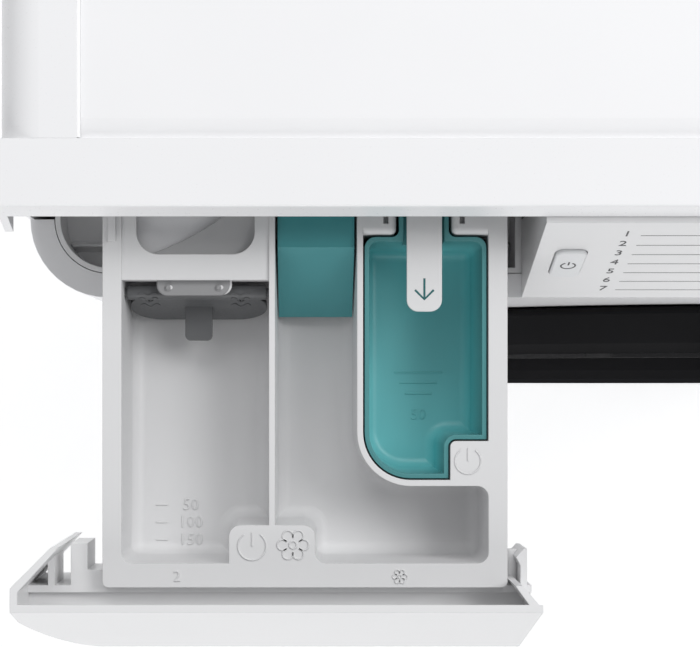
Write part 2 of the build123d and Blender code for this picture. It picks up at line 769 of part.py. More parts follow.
def lean_y(z):
    """How far the panel's face has leaned back at height z."""
    return panel_lean * (z - panel_bottom) / panel_height


def snap_hook(x):
    """A springy blade from above, with an arrow head at its rear end."""
    root = tray_front_y - front_wall
    tip = tray_front_y + hook_length
    with BuildSketch(mode=Mode.PRIVATE) as hook:
        with BuildLine():
            Polyline(
                (x - hook_wall / 2, root),
                (x - hook_wall / 2, tip - 2 * hook_head),
                (x - hook_wall / 2 - hook_head / 2, tip - hook_head),
                (x, tip),
                (x + hook_wall / 2, tip),
                (x + hook_wall / 2, root),
                close=True,
            )
        make_face()
    return hook.sketch


with BuildPart() as drawer_front:
    with BuildSketch(Plane.YZ.offset(front_left)):
        with BuildLine():
            Polyline(
                (drawer_face_y + lean_y(front_low), front_low),
                (drawer_face_y + lean_y(front_high), front_high),
                (drawer_face_y + lean_y(front_high) + skin_depth, front_high),
                (drawer_face_y + lean_y(front_low) + skin_depth, front_low),
                close=True,
            )
        make_face()
    extrude(amount=front_right - front_left)
    with BuildSketch(Plane.XY.offset(shelf_top)):
        add(plan_strip(front_left, cheek_right, drawer_face_y, tray_front_y))
    extrude(amount=-front_wall)
    with BuildSketch(Plane.XY.offset(front_low)):
        add(plan_strip(front_left, cheek_right, tray_front_y - front_wall, tray_front_y))
    extrude(amount=back_wall_top - front_low)
    with BuildSketch(Plane.XY.offset(front_low)):
        add(cabinet_plan(0).moved(moved_out))
        add(cabinet_plan(front_wall).moved(moved_out), mode=Mode.SUBTRACT)
        corner_x = -half_width + corner_radius
        corner = plan_strip(-half_width, corner_x, drawer_face_y, drawer_face_y + corner_radius)
        add(corner, mode=Mode.INTERSECT)
        with BuildLine():
            bend = cheek_depth - cheek_slant
            Polyline(
                (front_left, drawer_face_y + bend / 2),
                (front_left, drawer_face_y + bend),
                (front_left + cheek_slant, drawer_face_y + cheek_depth),
                (front_left + cheek_slant + front_wall, drawer_face_y + cheek_depth),
                (front_left + front_wall, drawer_face_y + bend - front_wall / 2),
                (front_left + front_wall, drawer_face_y + bend / 2),
                close=True,
            )
        make_face()
        with BuildLine():
            Polyline(
                (cheek_right, drawer_face_y + bend / 2),
                (cheek_right, drawer_face_y + right_cheek[0]),
                (cheek_right - right_cheek[2], drawer_face_y + right_cheek[1]),
                (cheek_right - right_cheek[2] - front_wall, drawer_face_y + right_cheek[1]),
                (cheek_right - front_wall, drawer_face_y + right_cheek[0] - front_wall / 2),
                (cheek_right - front_wall, drawer_face_y + bend / 2),
                close=True,
            )
        make_face()
    extrude(amount=front_high - front_low)
    with BuildSketch(Plane.XY.offset(back_wall_top)):
        for plate_low, plate_high, plate_length in plates:
            plate_end = tray_front_y + plate_length
            plate_root = tray_front_y - front_wall
            add(plan_strip(front_left + plate_low, front_left + plate_high, plate_root, plate_end))
        for hook_x in (front_left + left_hook_inset, front_right - right_hook_inset):
            add(snap_hook(hook_x))
    extrude(amount=-tray_height / 2)
    with BuildSketch(rear_plane(tray_front_y - front_wall, boss_z, front_right - boss_inset)):
        Circle(boss_radius_front)
    extrude(amount=front_wall + boss_length)
    with BuildSketch(rear_plane(tray_front_y + boss_length, boss_z, front_right - boss_inset)):
        Circle(boss_bore)
    extrude(amount=-boss_length, mode=Mode.SUBTRACT)
    with BuildSketch(Plane.XY.offset(front_low)):
        add(cabinet_plan(0).moved(moved_out))
        add(plan_strip(front_left, front_right, drawer_face_y, front_y), mode=Mode.INTERSECT)
    extrude(amount=front_high - front_low, mode=Mode.INTERSECT)
    split(bisect_by=drawer_lean, keep=Keep.BOTTOM)
finish(drawer_front, "drawer_front")

# Dosing tray: a cup with a notch at one corner and a neck at the back
cup_gap = 0.6
cup_wall = 1.6
cup_top = tray_rim - 1.2
cup_back = 124.2
cup_round = 4.0
neck_back = 150.0
neck_depth = 14.0
neck_round = 2.5
neck_join_reach = 0.5
join_y = tray_front_y + cup_back


def cup_outline(inset):
    """The dosing tray's outline from above, drawn in by inset, without its neck."""
    left = chamber_left + cup_gap + inset
    right = chamber_right - cup_gap - inset
    low = chamber_front + cup_gap + inset
    notch_x = plate_left - cup_gap - inset
    notch_y = plate_back + cup_gap + inset
    with BuildSketch(mode=Mode.PRIVATE) as outline:
        add(tray_strip(left, right, low, cup_back - inset))
        add(tray_strip(notch_x, right, low, notch_y), mode=Mode.SUBTRACT)
        fillet(outline.vertices().filter_by(near([(left, low)])), chamber_arc - cup_gap - inset)
        rear = [(left, cup_back - inset), (right, cup_back - inset)]
        fillet(outline.vertices().filter_by(near(rear)), cup_round - inset / 2)
        fillet(outline.vertices().filter_by(near([(notch_x, notch_y)])), hollow_round / 2 + cup_gap + inset)
    return outline.sketch


with BuildPart() as cup_core:
    with BuildSketch(Plane.XY.offset(cup_top)):
        add(cup_outline(cup_wall))
    extrude(amount=floor_z + seat_gap + cup_wall - cup_top, taper=pocket_draft)
    fillet(cup_core.faces().sort_by(Axis.Z)[0].edges(), cup_round)

with BuildPart() as dosing_tray:
    with BuildSketch(Plane.XY.offset(cup_top)):
        add(cup_outline(0))
    extrude(amount=floor_z + seat_gap - cup_top, taper=pocket_draft)
    with BuildSketch(Plane.XY.offset(cup_top)):
        add(tray_strip(tab_x - neck_width / 2, tab_x + neck_width / 2, cup_back - cup_wall, neck_back))
    extrude(amount=-neck_depth)
    upright = dosing_tray.edges().filter_by(lambda e: e.length > neck_depth / 2)
    neck_sides = upright.filter_by(lambda e: abs(abs(e.center().X - tab_x) - neck_width / 2) < neck_join_reach)
    fillet(neck_sides.filter_by(lambda e: abs(e.center().Y - join_y) < neck_join_reach), neck_round)
    add(cup_core.part, mode=Mode.SUBTRACT)
    with BuildSketch(Plane.XY.offset(cup_top)):
        inner_neck = neck_width / 2 - cup_wall
        add(tray_strip(tab_x - inner_neck, tab_x + inner_neck, cup_back - 3 * cup_wall, neck_back - cup_wall))
    extrude(amount=cup_wall - neck_depth, mode=Mode.SUBTRACT)
finish(dosing_tray, "dosing_tray")

# Release tab over the neck, hinged at the back on its barrel
with BuildPart() as release_tab:
    with BuildSketch(Plane.XY.offset(tray_rim - tab_lift)) as tab_plan:
        half_tab = tab_width / 2
        add(tray_strip(tab_x - half_tab, tab_x + half_tab, tab_front, tab_pivot + tab_barrel_radius))
        fillet(tab_plan.vertices().group_by(Axis.Y)[0], tab_width / 3)
    extrude(amount=tab_thickness)
    with BuildSketch(Plane.YZ.offset(tab_x - tab_width / 2 - insert_pin_length)):
        with Locations((tab_pivot_y, tab_pivot_z)):
            Circle(tab_barrel_radius)
    extrude(amount=tab_width + 2 * insert_pin_length)
finish(release_tab, "release_tab")

# Softener cap: a bent plate over the siphon, with the siphon tube below it
cap_gap = 0.9
cap_wall = 2.0
cap_sunk = 3.0
cap_bend = 120.6
cap_front = 97.0
cap_drop = 27.0
siphon_radius = 8.0
cap_top = tray_rim - cap_sunk
cap_back = tray_length - rim_rear - cap_gap
siphon_u = 165.0
with BuildPart() as softener_cap:
    with BuildSketch(Plane.YZ.offset(softener_left + cap_gap)):
        with BuildLine():
            Polyline(
                (tray_front_y + cap_back, cap_top),
                (tray_front_y + cap_bend, cap_top),
                (tray_front_y + cap_front, cap_top - cap_drop),
                (tray_front_y + cap_front + cap_wall, cap_top - cap_drop - cap_wall / 2),
                (tray_front_y + cap_bend + cap_wall, cap_top - cap_wall),
                (tray_front_y + cap_back, cap_top - cap_wall),
                close=True,
            )
        make_face()
    extrude(amount=softener_width - 2 * cap_gap)
    siphon_x = (softener_left + softener_right) / 2
    with BuildSketch(Plane.XY.offset(cap_top - cap_wall)):
        with Locations((siphon_x, tray_front_y + siphon_u)):
            Circle(siphon_radius)
            Circle(siphon_radius - cap_wall, mode=Mode.SUBTRACT)
    extrude(amount=floor_z + 3 * cap_wall - cap_top)
finish(softener_cap, "softener_cap")

# Liquid detergent flap hung across the wash hollow on two pins, with a finger tongue
flap_side_gap = 1.2
insert_length = 23.0
insert_tilt = 20.0
insert_wall = 2.0
insert_round = 11.0
tongue_size = (9.9, 15.0)
insert_plane = Plane(
    origin=(window_middle, insert_pivot_y, insert_pivot_z),
    x_dir=(1, 0, 0),
    z_dir=(0, -1, 0),
).rotated((-insert_tilt, 0, 0))
insert_width = wash_width - 2 * flap_side_gap
with BuildPart() as liquid_flap:
    with BuildSketch(insert_plane) as insert_face:
        with Locations((0, -insert_length / 2)):
            Rectangle(insert_width, insert_length)
        fillet(insert_face.vertices().group_by(Axis.Z)[0], insert_round)
    extrude(amount=insert_wall / 2, both=True)
    with BuildSketch(Plane.YZ.offset(window_middle - insert_width / 2)):
        with Locations((insert_pivot_y, insert_pivot_z)):
            Circle(insert_pin_radius + insert_wall / 2)
    extrude(amount=insert_width)
    with BuildSketch(Plane.YZ.offset(wash_left - insert_pin_length + seat_gap)):
        with Locations((insert_pivot_y, insert_pivot_z)):
            Circle(insert_pin_radius)
    extrude(amount=wash_width + insert_pin_length + divider / 2 - 2 * seat_gap)
    with BuildSketch(Plane.XY.offset(insert_pivot_z - insert_length / 2)):
        tongue_back = insert_pivot_y - insert_wall
        with Locations((window_middle, tongue_back - tongue_size[1] / 2)):
            RectangleRounded(*tongue_size, 2)
    extrude(amount=insert_wall)
finish(liquid_flap, "liquid_flap")

# Surround below the drawer: a moulded basin inside the front panel's flange, with two ribs on its floor
basin_depth = 20.0
basin_wall = 2.0
ledge_depth = 49.0
basin_inset = top_lip + seat_gap
basin_rib = (4.0, 6.0)
basin_rib_slope = 15.0
basin_rib_places = (9.0, 19.0)


def basin_plan(inset):
    """The basin's outline from above, drawn in by inset."""
    with BuildSketch(mode=Mode.PRIVATE) as outline:
        add(cabinet_plan(basin_inset + inset))
        basin_right = panel_left - inset
        basin_back = front_y + ledge_depth - inset
        add(plan_strip(-half_width, basin_right, front_y, basin_back), mode=Mode.INTERSECT)
    return outline.sketch


with BuildPart() as drawer_surround:
    with BuildSketch(Plane.XY.offset(panel_bottom)):
        add(basin_plan(0))
    extrude(amount=-basin_depth)
    with BuildSketch(Plane.XY.offset(panel_bottom)):
        add(basin_plan(basin_wall))
    extrude(amount=basin_wall - basin_depth, mode=Mode.SUBTRACT)
    with BuildSketch(Plane.XY.offset(panel_bottom - basin_depth + basin_wall)):
        for place in basin_rib_places:
            rib_y = front_y + place
            add(plan_strip(-half_width, panel_left, rib_y, rib_y + basin_rib[0]))
        add(basin_plan(basin_wall / 2), mode=Mode.INTERSECT)
    extrude(amount=basin_rib[1], taper=basin_rib_slope)
finish(drawer_surround, "drawer_surround")

# Dispenser housing that the drawer slides in, its lid with water channels, and the outlet spout
house_wall = 2.5
house_gap = 0.6
house_front_y = front_y + ledge_depth + panel_gap
house_back_y = front_y + tray_front_set_back + tray_length + 3.0
house_floor = tray_bottom - seat_gap
house_top = tray_rim + 2.5
house_left = tray_left - house_gap - house_wall
house_right = tray_right + house_gap + house_wall
spout_radius = 15.0
spout_length = 30.0
spout_x = (house_left + house_right) / 2
spout_y = house_back_y - 80.0
with BuildPart() as dispenser_housing:
    with BuildSketch(Plane.XY.offset(house_floor - house_wall)):
        add(plan_strip(house_left, house_right, house_front_y, house_back_y + house_wall))
    extrude(amount=house_top - house_floor + house_wall)
    with BuildSketch(Plane.XY.offset(house_floor)):
        add(plan_strip(house_left + house_wall, house_right - house_wall, house_front_y, house_back_y))
    extrude(amount=house_top - house_floor, mode=Mode.SUBTRACT)
    with BuildSketch(Plane.XY.offset(house_floor - house_wall)):
        with Locations((spout_x, spout_y)):
            Circle(spout_radius)
    extrude(amount=-spout_length)
    with BuildSketch(Plane.XY.offset(house_floor)):
        with Locations((spout_x, spout_y)):
            Circle(spout_radius - house_wall)
    extrude(amount=-house_wall - spout_length, mode=Mode.SUBTRACT)
finish(dispenser_housing, "dispenser_housing")

channel = 6.0
with BuildPart() as dispenser_lid:
    with BuildSketch(Plane.XY.offset(house_top)):
        add(plan_strip(house_left, house_right, house_front_y, house_back_y + house_wall))
    extrude(amount=worktop_bottom - panel_gap - house_top)
    with BuildSketch(Plane.XY.offset(worktop_bottom - panel_gap)):
        for lane in (1, 2, 3):
            lane_x = house_left + lane * (house_right - house_left) / 4
            add(plan_strip(lane_x, lane_x + channel, house_front_y + 4 * channel, house_back_y - channel))
    extrude(amount=-house_wall / 2, mode=Mode.SUBTRACT)
finish(dispenser_lid, "dispenser_lid")


door_axis = Axis((0, 0, door_axis_height), (0, 1, 0))


def ring_profile(points):
    """A closed outline of (distance behind the front, radius) points, to turn round the door's axis."""
    with BuildSketch(Plane.YZ, mode=Mode.PRIVATE) as profile:
        with BuildLine():
            Polyline(*[(front_y + y, door_axis_height + r) for y, r in points], close=True)
        make_face()
    return profile.sketch


# Door: a ring with a hinge ear and a finger recess, a tinted cover, a glass bowl and a clamp ring
ring_back = -0.8
ring_front = -20.0
flange_back = -1.2
flange_front = -6.0
cover_radius = door_radius - 8.0
cover_edge = 2.0
hinge_reach = 9.0
hinge_x = -door_radius - hinge_reach
hinge_y = front_y - 9.0
ear_half = 15.0
knuckle_radius = 6.5
pin_radius = 3.5
grip_half = 36.0
grip_depth = 20.0
rim_bevel = 3.0
face_bevel = 4.0
inner_slope = 18.0
ear_web = 5.0

with BuildPart() as door_frame:
    outline = [
        (ring_back, flange_radius),
        (ring_back, door_radius - rim_bevel),
        (ring_back - rim_bevel, door_radius),
        (ring_front + face_bevel, door_radius - face_bevel),
        (ring_front, door_radius - 2 * face_bevel),
        (ring_front, ring_inner + inner_slope),
        (flange_front, ring_inner),
        (flange_front, flange_radius),
    ]
    revolve(ring_profile(outline), axis=door_axis)
    with BuildSketch(Plane.XY.offset(door_axis_height - ear_half)):
        with Locations((hinge_x, hinge_y)):
            Circle(knuckle_radius)
        add(plan_strip(hinge_x, 2 * face_bevel - door_radius, hinge_y - ear_web, hinge_y + ear_web))
    extrude(amount=2 * ear_half)
    with BuildSketch(Plane.XY.offset(door_axis_height - ear_half)):
        with Locations((hinge_x, hinge_y)):
            Circle(pin_radius + seat_gap)
    extrude(amount=2 * ear_half, mode=Mode.SUBTRACT)
    with BuildSketch(Plane.XY.offset(door_axis_height - grip_half)):
        grip_front_y = front_y + ring_front + front_wall
        add(plan_strip(door_radius - grip_depth, door_radius + grip_depth, grip_front_y, front_y))
    extrude(amount=2 * grip_half, mode=Mode.SUBTRACT)
finish(door_frame, "door_frame")

with BuildPart() as door_cover:
    with BuildSketch(Plane.YZ):
        dome_back = front_y + ring_front
        dome_front = front_y - door_depth
        edge_y = dome_back - cover_edge
        dome_radius = (cover_radius**2 + (edge_y - dome_front) ** 2) / (2 * (edge_y - dome_front))
        with BuildLine():
            Polyline(
                (dome_front, door_axis_height),
                (dome_back, door_axis_height),
                (dome_back, door_axis_height + cover_radius),
                (edge_y, door_axis_height + cover_radius),
            )
            edge_point = (edge_y, door_axis_height + cover_radius)
            RadiusArc(edge_point, (dome_front, door_axis_height), -dome_radius)
        make_face()
    revolve(axis=door_axis)
finish(door_cover, "door_cover")

bowl_turn = 22.0
bowl_floor_radius = door_bowl_radius - bowl_turn

with BuildPart() as door_bowl:
    outline = [
        (flange_front + seat_gap, flange_radius - seat_gap),
        (flange_back, flange_radius - seat_gap),
        (flange_back, door_bowl_radius),
        (door_bowl_depth - bowl_turn, bowl_floor_radius),
        (door_bowl_depth, bowl_floor_radius - bowl_turn),
        (door_bowl_depth, 0),
        (door_bowl_depth - door_glass, 0),
        (door_bowl_depth - door_glass, bowl_floor_radius - bowl_turn - door_glass / 2),
        (door_bowl_depth - bowl_turn - door_glass / 2, bowl_floor_radius - door_glass),
        (flange_front + seat_gap, door_bowl_radius - door_glass),
    ]
    revolve(ring_profile(outline), axis=door_axis)
finish(door_bowl, "door_bowl")

clamp_inner = door_bowl_radius + 5.0
clamp_back = 5.0
with BuildPart() as door_clamp_ring:
    outline = [
        (ring_back, clamp_inner),
        (ring_back, clamp_outer),
        (clamp_back - 2, clamp_outer - 1),
        (clamp_back, clamp_outer - 4),
        (clamp_back, clamp_inner + 3),
        (clamp_back - 3, clamp_inner),
    ]
    revolve(ring_profile(outline), axis=door_axis)
finish(door_clamp_ring, "door_clamp_ring")

# Latch hook on the door, and the lock behind the front panel that takes it
latch_reach = 26.0
latch_hook = 18.2
latch_bevel = 2.0

with BuildPart() as door_latch:
    with BuildSketch(front_plane(front_y + ring_back, door_axis_height, latch_x)):
        Rectangle(*latch_size)
    extrude(amount=-latch_reach)
    with BuildSketch(front_plane(front_y + ring_back + latch_hook, door_axis_height, latch_x)):
        Rectangle(latch_size[0] + latch_room, latch_size[1] / 2)
    extrude(amount=-latch_size[0], mode=Mode.SUBTRACT)
    chamfer(door_latch.faces().sort_by(Axis.Y)[-1].edges().filter_by(Axis.Z), latch_bevel)
finish(door_latch, "door_latch")

lock_size = (34.0, 70.0)
lock_depth = 30.0
lock_front_y = front_y + dish_depth + sheet
with BuildPart() as door_lock:
    with BuildSketch(front_plane(lock_front_y, door_axis_height, latch_x)):
        RectangleRounded(*lock_size, 3)
    extrude(amount=-lock_depth)
    with BuildSketch(front_plane(lock_front_y, door_axis_height, latch_x)):
        Rectangle(latch_size[0] + 2 * latch_room, latch_size[1] + 2 * latch_room)
    extrude(amount=-latch_reach, mode=Mode.SUBTRACT)
finish(door_lock, "door_lock")

# Hinge bracket on the front panel, and its pin
bracket_height = 16.0
bracket_gap = 0.4
bracket_plate = (20.0, 5.0)
with BuildPart() as hinge_bracket:
    for side in (-1, 1):
        low = door_axis_height + side * (ear_half + bracket_gap + bracket_height / 2) - bracket_height / 2
        with BuildSketch(Plane.XY.offset(low)):
            with Locations((hinge_x, hinge_y)):
                Circle(knuckle_radius)
            add(plan_strip(hinge_x - pin_radius, hinge_x + pin_radius, hinge_y, front_y))
            with Locations((hinge_x, hinge_y)):
                Circle(pin_radius, mode=Mode.SUBTRACT)
        extrude(amount=bracket_height)
    plate_half = ear_half + bracket_gap + bracket_height
    with BuildSketch(Plane.XY.offset(door_axis_height - plate_half)):
        add(plan_strip(hinge_x - bracket_plate[0], hinge_x + bracket_plate[1], front_y - sheet, front_y))
    extrude(amount=2 * plate_half)
finish(hinge_bracket, "hinge_bracket")

with BuildPart() as hinge_pin:
    with BuildSketch(Plane.XY.offset(door_axis_height - plate_half)):
        with Locations((hinge_x, hinge_y)):
            Circle(pin_radius)
    extrude(amount=2 * plate_half)
finish(hinge_pin, "hinge_pin")

# Door gasket, from the front panel's opening to the mouth of the tub
mouth_radius = opening_radius + 10.0
collar_wall = 6.0
gasket_inner = opening_radius - 10.0
gasket_lip = 6.0
lip_thick = 2.5
gasket_wall = 8.0
collar_reach = 12.0
tub_bevel = 4.0
tub_front = tub_front_set_back
gasket_face = dish_depth - seat_gap
with BuildPart() as door_gasket:
    outline = [
        (gasket_face - lip_thick, gasket_inner),
        (gasket_face - lip_thick, opening_radius + gasket_lip),
        (gasket_face, opening_radius + gasket_lip),
        (gasket_face, opening_radius - seat_gap),
        (tub_front - collar_reach - gasket_wall, opening_radius - seat_gap),
        (tub_front - collar_reach, mouth_radius - seat_gap),
        (tub_front + tub_bevel, mouth_radius - seat_gap),
        (tub_front + tub_bevel, mouth_radius - gasket_wall),
        (tub_front - gasket_wall, mouth_radius - gasket_wall),
        (tub_front - 2 * gasket_wall, gasket_inner),
    ]
    revolve(ring_profile(outline), axis=door_axis)
finish(door_gasket, "door_gasket")

# Tub in two halves joined at a flange, with the bearing hub and lugs on the rear one
tub_seam = tub_front + 150.0
tub_back = tub_front + tub_length
tub_inner = tub_radius - tub_wall
seam_flange = 8.0
rear_wall = 8.0
hub_radius = 48.0
hub_front = tub_back - 20.0
hub_back = tub_back + 26.0
bearing_radius = 31.0
bearing_width = 16.0
with BuildPart() as tub_front_half:
    outline = [
        (tub_front - collar_reach, mouth_radius),
        (tub_front - collar_reach, mouth_radius + collar_wall),
        (tub_front, mouth_radius + collar_wall),
        (tub_front, tub_radius - tub_bevel),
        (tub_front + tub_bevel, tub_radius),
        (tub_seam - seam_flange, tub_radius),
        (tub_seam - seam_flange, tub_radius + seam_flange),
        (tub_seam, tub_radius + seam_flange),
        (tub_seam, tub_inner),
        (tub_front + tub_wall, tub_inner),
        (tub_front + tub_wall, mouth_radius),
    ]
    revolve(ring_profile(outline), axis=door_axis)
finish(tub_front_half, "tub_front_half")

spring_x = half_width - 18.0
spring_y = front_y + tub_seam + 90.0
spring_ear_rise = 0.48
spring_ear_z = door_axis_height + spring_ear_rise * tub_radius
spring_ear = (28.0, 10.0)
ear_root = tub_radius * 0.8
ear_over = 8.0
lug_root = tub_radius * 0.9
tub_ribs = 12
motor_top = motor_height + motor_radius
motor_back = tub_back + 4.0
motor_front = motor_back - motor_length
motor_lug = 12.0

with BuildPart() as tub_solid:
    wall_front = tub_back - rear_wall
    outline = [(tub_seam, 0), (tub_seam, tub_inner), (wall_front, tub_inner), (wall_front, 0)]
    revolve(ring_profile(outline), axis=door_axis)

with BuildPart() as tub_rear_half:
    outline = [
        (tub_seam, 0),
        (tub_seam, tub_radius + seam_flange),
        (tub_seam + seam_flange, tub_radius + seam_flange),
        (tub_seam + seam_flange, tub_radius),
        (tub_back, tub_radius),
        (tub_back, 0),
    ]
    revolve(ring_profile(outline), axis=door_axis)
    with BuildSketch(Plane.XY.offset(spring_ear_z)):
        for side in (-1, 1):
            ear_sides = sorted((side * ear_root, side * (spring_x + ear_over)))
            add(plan_strip(*ear_sides, spring_y - spring_ear[0] / 2, spring_y + spring_ear[0] / 2))
    extrude(amount=spring_ear[1])
    with BuildSketch(Plane.XY.offset(motor_top + seat_gap)):
        for lug_y in (front_y + motor_front + motor_lug, front_y + motor_back - 2 * motor_lug):
            add(plan_strip(motor_x - 2 * motor_lug, motor_x + 2 * motor_lug, lug_y, lug_y + motor_lug))
    extrude(amount=door_axis_height - lug_root - motor_top)
    add(tub_solid.part, mode=Mode.SUBTRACT)
    outline = [(hub_front, bearing_radius), (hub_front, hub_radius)]
    outline += [(hub_back, hub_radius), (hub_back, bearing_radius)]
    revolve(ring_profile(outline), axis=door_axis)
    with BuildSketch(front_plane(front_y + tub_back, door_axis_height)):
        with PolarLocations((hub_radius + tub_radius - tub_wall) / 2, tub_ribs):
            Rectangle(tub_radius - hub_radius, tub_wall)
    extrude(amount=-rear_wall)
    with BuildSketch(front_plane(front_y + hub_front, door_axis_height)):
        Circle(bearing_radius)
    extrude(amount=hub_front - hub_back, mode=Mode.SUBTRACT)
finish(tub_rear_half, "tub_rear_half")

# Drum with its lifters, spider, shaft, pulley and bearings
drum_radius = tub_inner - drum_gap
drum_front = tub_front + drum_gap + 2.0
drum_back = hub_front - 14.0
drum_round = 12.0
with BuildPart() as drum:
    outline = [
        (drum_front, drum_mouth_radius),
        (drum_front, drum_radius - drum_round),
        (drum_front + drum_round, drum_radius),
        (drum_back - drum_round, drum_radius),
        (drum_back, drum_radius - drum_round),
        (drum_back, 0),
        (drum_back - drum_wall, 0),
        (drum_back - drum_wall, drum_radius - drum_round - drum_wall / 2),
        (drum_back - drum_round - drum_wall / 2, drum_radius - drum_wall),
        (drum_front + drum_round + drum_wall / 2, drum_radius - drum_wall),
        (drum_front + drum_wall, drum_radius - drum_round - drum_wall / 2),
        (drum_front + drum_wall, drum_mouth_radius),
    ]
    revolve(ring_profile(outline), axis=door_axis)
finish(drum, "drum")

lifter_count = 3
lifter_base = 40.0
lifter_top = 18.0
lifter_height = 43.0
lifter_end = 24.0
lifter_seat = ((drum_radius - drum_wall) ** 2 - (lifter_base / 2) ** 2) ** 0.5 - seat_gap
with BuildPart() as drum_lifters:
    with BuildSketch(front_plane(front_y + drum_front + lifter_end, door_axis_height)):
        with PolarLocations(lifter_seat, lifter_count):
            Polygon(
                (0, -lifter_base / 2),
                (0, lifter_base / 2),
                (-lifter_height, lifter_top / 2),
                (-lifter_height, -lifter_top / 2),
                align=None,
            )
    extrude(amount=drum_front - drum_back + 2 * lifter_end)
finish(drum_lifters, "drum_lifters")

pulley_front = hub_back + 6.0
pulley_back = pulley_front + pulley_width
bore_gap = 0.1
shaft_end = 8.0
spider_hub = 36.0
spider_arm = (30.0, drum_radius - 28.0)
spider_depth = hub_front - drum_back - 2 * seat_gap
with BuildPart() as drum_spider:
    with BuildSketch(front_plane(front_y + drum_back + seat_gap, door_axis_height)):
        Circle(spider_hub)
        with PolarLocations(spider_arm[1] / 2, lifter_count):
            Rectangle(spider_arm[1], spider_arm[0])
    extrude(amount=-spider_depth)
    with BuildSketch(front_plane(front_y + drum_back + seat_gap, door_axis_height)):
        Circle(shaft_radius)
    extrude(amount=drum_back - pulley_back - shaft_end)
finish(drum_spider, "drum_spider")

with BuildPart() as bearings:
    for start in (hub_front + 2, hub_back - bearing_width - 2):
        with BuildSketch(front_plane(front_y + start, door_axis_height)):
            Circle(bearing_radius - bore_gap)
            Circle(shaft_radius + seat_gap, mode=Mode.SUBTRACT)
        extrude(amount=-bearing_width)
finish(bearings, "bearings")

spoke_holes = 6
spoke_ring = pulley_radius * 0.58
spoke_hole = pulley_radius * 0.24

with BuildPart() as drum_pulley:
    with BuildSketch(front_plane(front_y + pulley_front, door_axis_height)):
        Circle(pulley_radius)
        Circle(shaft_radius + bore_gap, mode=Mode.SUBTRACT)
        with PolarLocations(spoke_ring, spoke_holes):
            Circle(spoke_hole, mode=Mode.SUBTRACT)
    extrude(amount=-pulley_width)
finish(drum_pulley, "drum_pulley")

# Motor below the tub, its pulley, and the belt
motor_end_radius = motor_radius * 0.8
motor_shaft_radius = motor_pulley_radius * 0.6

with BuildPart() as drive_motor:
    with BuildSketch(front_plane(front_y + motor_front, motor_height, motor_x)):
        Circle(motor_end_radius)
    extrude(amount=-motor_length)
    with BuildSketch(front_plane(front_y + motor_front + motor_lug, motor_height, motor_x)):
        Circle(motor_radius)
    extrude(amount=2 * motor_lug - motor_length)
finish(drive_motor, "drive_motor")

with BuildPart() as motor_pulley:
    with BuildSketch(front_plane(front_y + motor_back + seat_gap, motor_height, motor_x)):
        Circle(motor_shaft_radius)
    extrude(amount=motor_back + seat_gap - pulley_back)
    with BuildSketch(front_plane(front_y + pulley_front, motor_height, motor_x)):
        Circle(motor_pulley_radius)
    extrude(amount=-pulley_width)
finish(motor_pulley, "motor_pulley")


def belt_loop(grow):
    """The outline of a belt round both pulleys, grown from their rims."""
    with BuildSketch(front_plane(front_y + pulley_front + 2, 0), mode=Mode.PRIVATE) as loop:
        with Locations((0, door_axis_height)):
            Circle(pulley_radius + grow)
        with Locations((motor_x, motor_height)):
            Circle(motor_pulley_radius + grow)
        make_hull()
    return loop.sketch


with BuildPart() as drive_belt:
    extrude(belt_loop(seat_gap + belt_thickness), amount=4 - pulley_width)
    extrude(belt_loop(seat_gap), amount=4 - pulley_width, mode=Mode.SUBTRACT)
finish(drive_belt, "drive_belt")

# Heating element below the drum, a bent rod held by the tub's rear wall
heater_radius = 4.5
heater_half = 35.0
heater_ring = tub_inner - heater_radius - 1.5
heater_z = door_axis_height - (heater_ring**2 - heater_half**2) ** 0.5
heater_back = tub_back - rear_wall - seat_gap
heater_front = tub_seam - 60.0
with BuildPart() as heater:
    with BuildSketch(front_plane(front_y + heater_front, heater_z)):
        with Locations((-heater_half, 0), (heater_half, 0)):
            Circle(heater_radius)
    extrude(amount=heater_front - heater_back)
    with BuildSketch(Plane.YZ.offset(-heater_half)):
        with Locations((front_y + heater_front, heater_z)):
            Circle(heater_radius)
    extrude(amount=2 * heater_half)
finish(heater, "heater")

# Concrete counterweights, one round the mouth of the tub and one on its shoulder
weight_outer = tub_radius - 6.0
weight_inner = mouth_radius + collar_wall + 10.0
weight_depth = 30.0
weight_low = 90.0
shoulder_thickness = 42.0
shoulder_angles = (36.0, 66.0)
with BuildPart() as counterweights:
    with BuildSketch(front_plane(front_y + tub_front - seat_gap, door_axis_height)):
        Circle(weight_outer)
        Circle(weight_inner, mode=Mode.SUBTRACT)
        with Locations((0, weight_low + weight_outer)):
            Rectangle(2 * weight_outer, 2 * weight_outer, mode=Mode.INTERSECT)
    extrude(amount=weight_depth)
    with BuildSketch(front_plane(front_y + tub_seam + 4 * seam_flange, door_axis_height)):
        with BuildLine():
            start_angle = shoulder_angles[0]
            arc_size = shoulder_angles[1] - shoulder_angles[0]
            inner_arc = CenterArc((0, 0), tub_radius + seat_gap, start_angle, arc_size)
            outer_arc = CenterArc((0, 0), tub_radius + shoulder_thickness, start_angle, arc_size)
            Line(inner_arc @ 0, outer_arc @ 0)
            Line(inner_arc @ 1, outer_arc @ 1)
        make_face()
    extrude(amount=tub_seam + 5 * seam_flange - tub_back)
finish(counterweights, "counterweights")

# Springs that hang the tub from the folded tops of the side panels
spring_radius = 9.0
spring_wire = 3.0
spring_top = worktop_bottom - sheet
with BuildPart() as suspension_springs:
    with BuildSketch(Plane.XY.offset(spring_ear_z + spring_ear[1])):
        with Locations((-spring_x, spring_y), (spring_x, spring_y)):
            Circle(spring_radius)
            Circle(spring_radius - spring_wire, mode=Mode.SUBTRACT)
    extrude(amount=spring_top - spring_ear_z - spring_ear[1])
finish(suspension_springs, "suspension_springs")

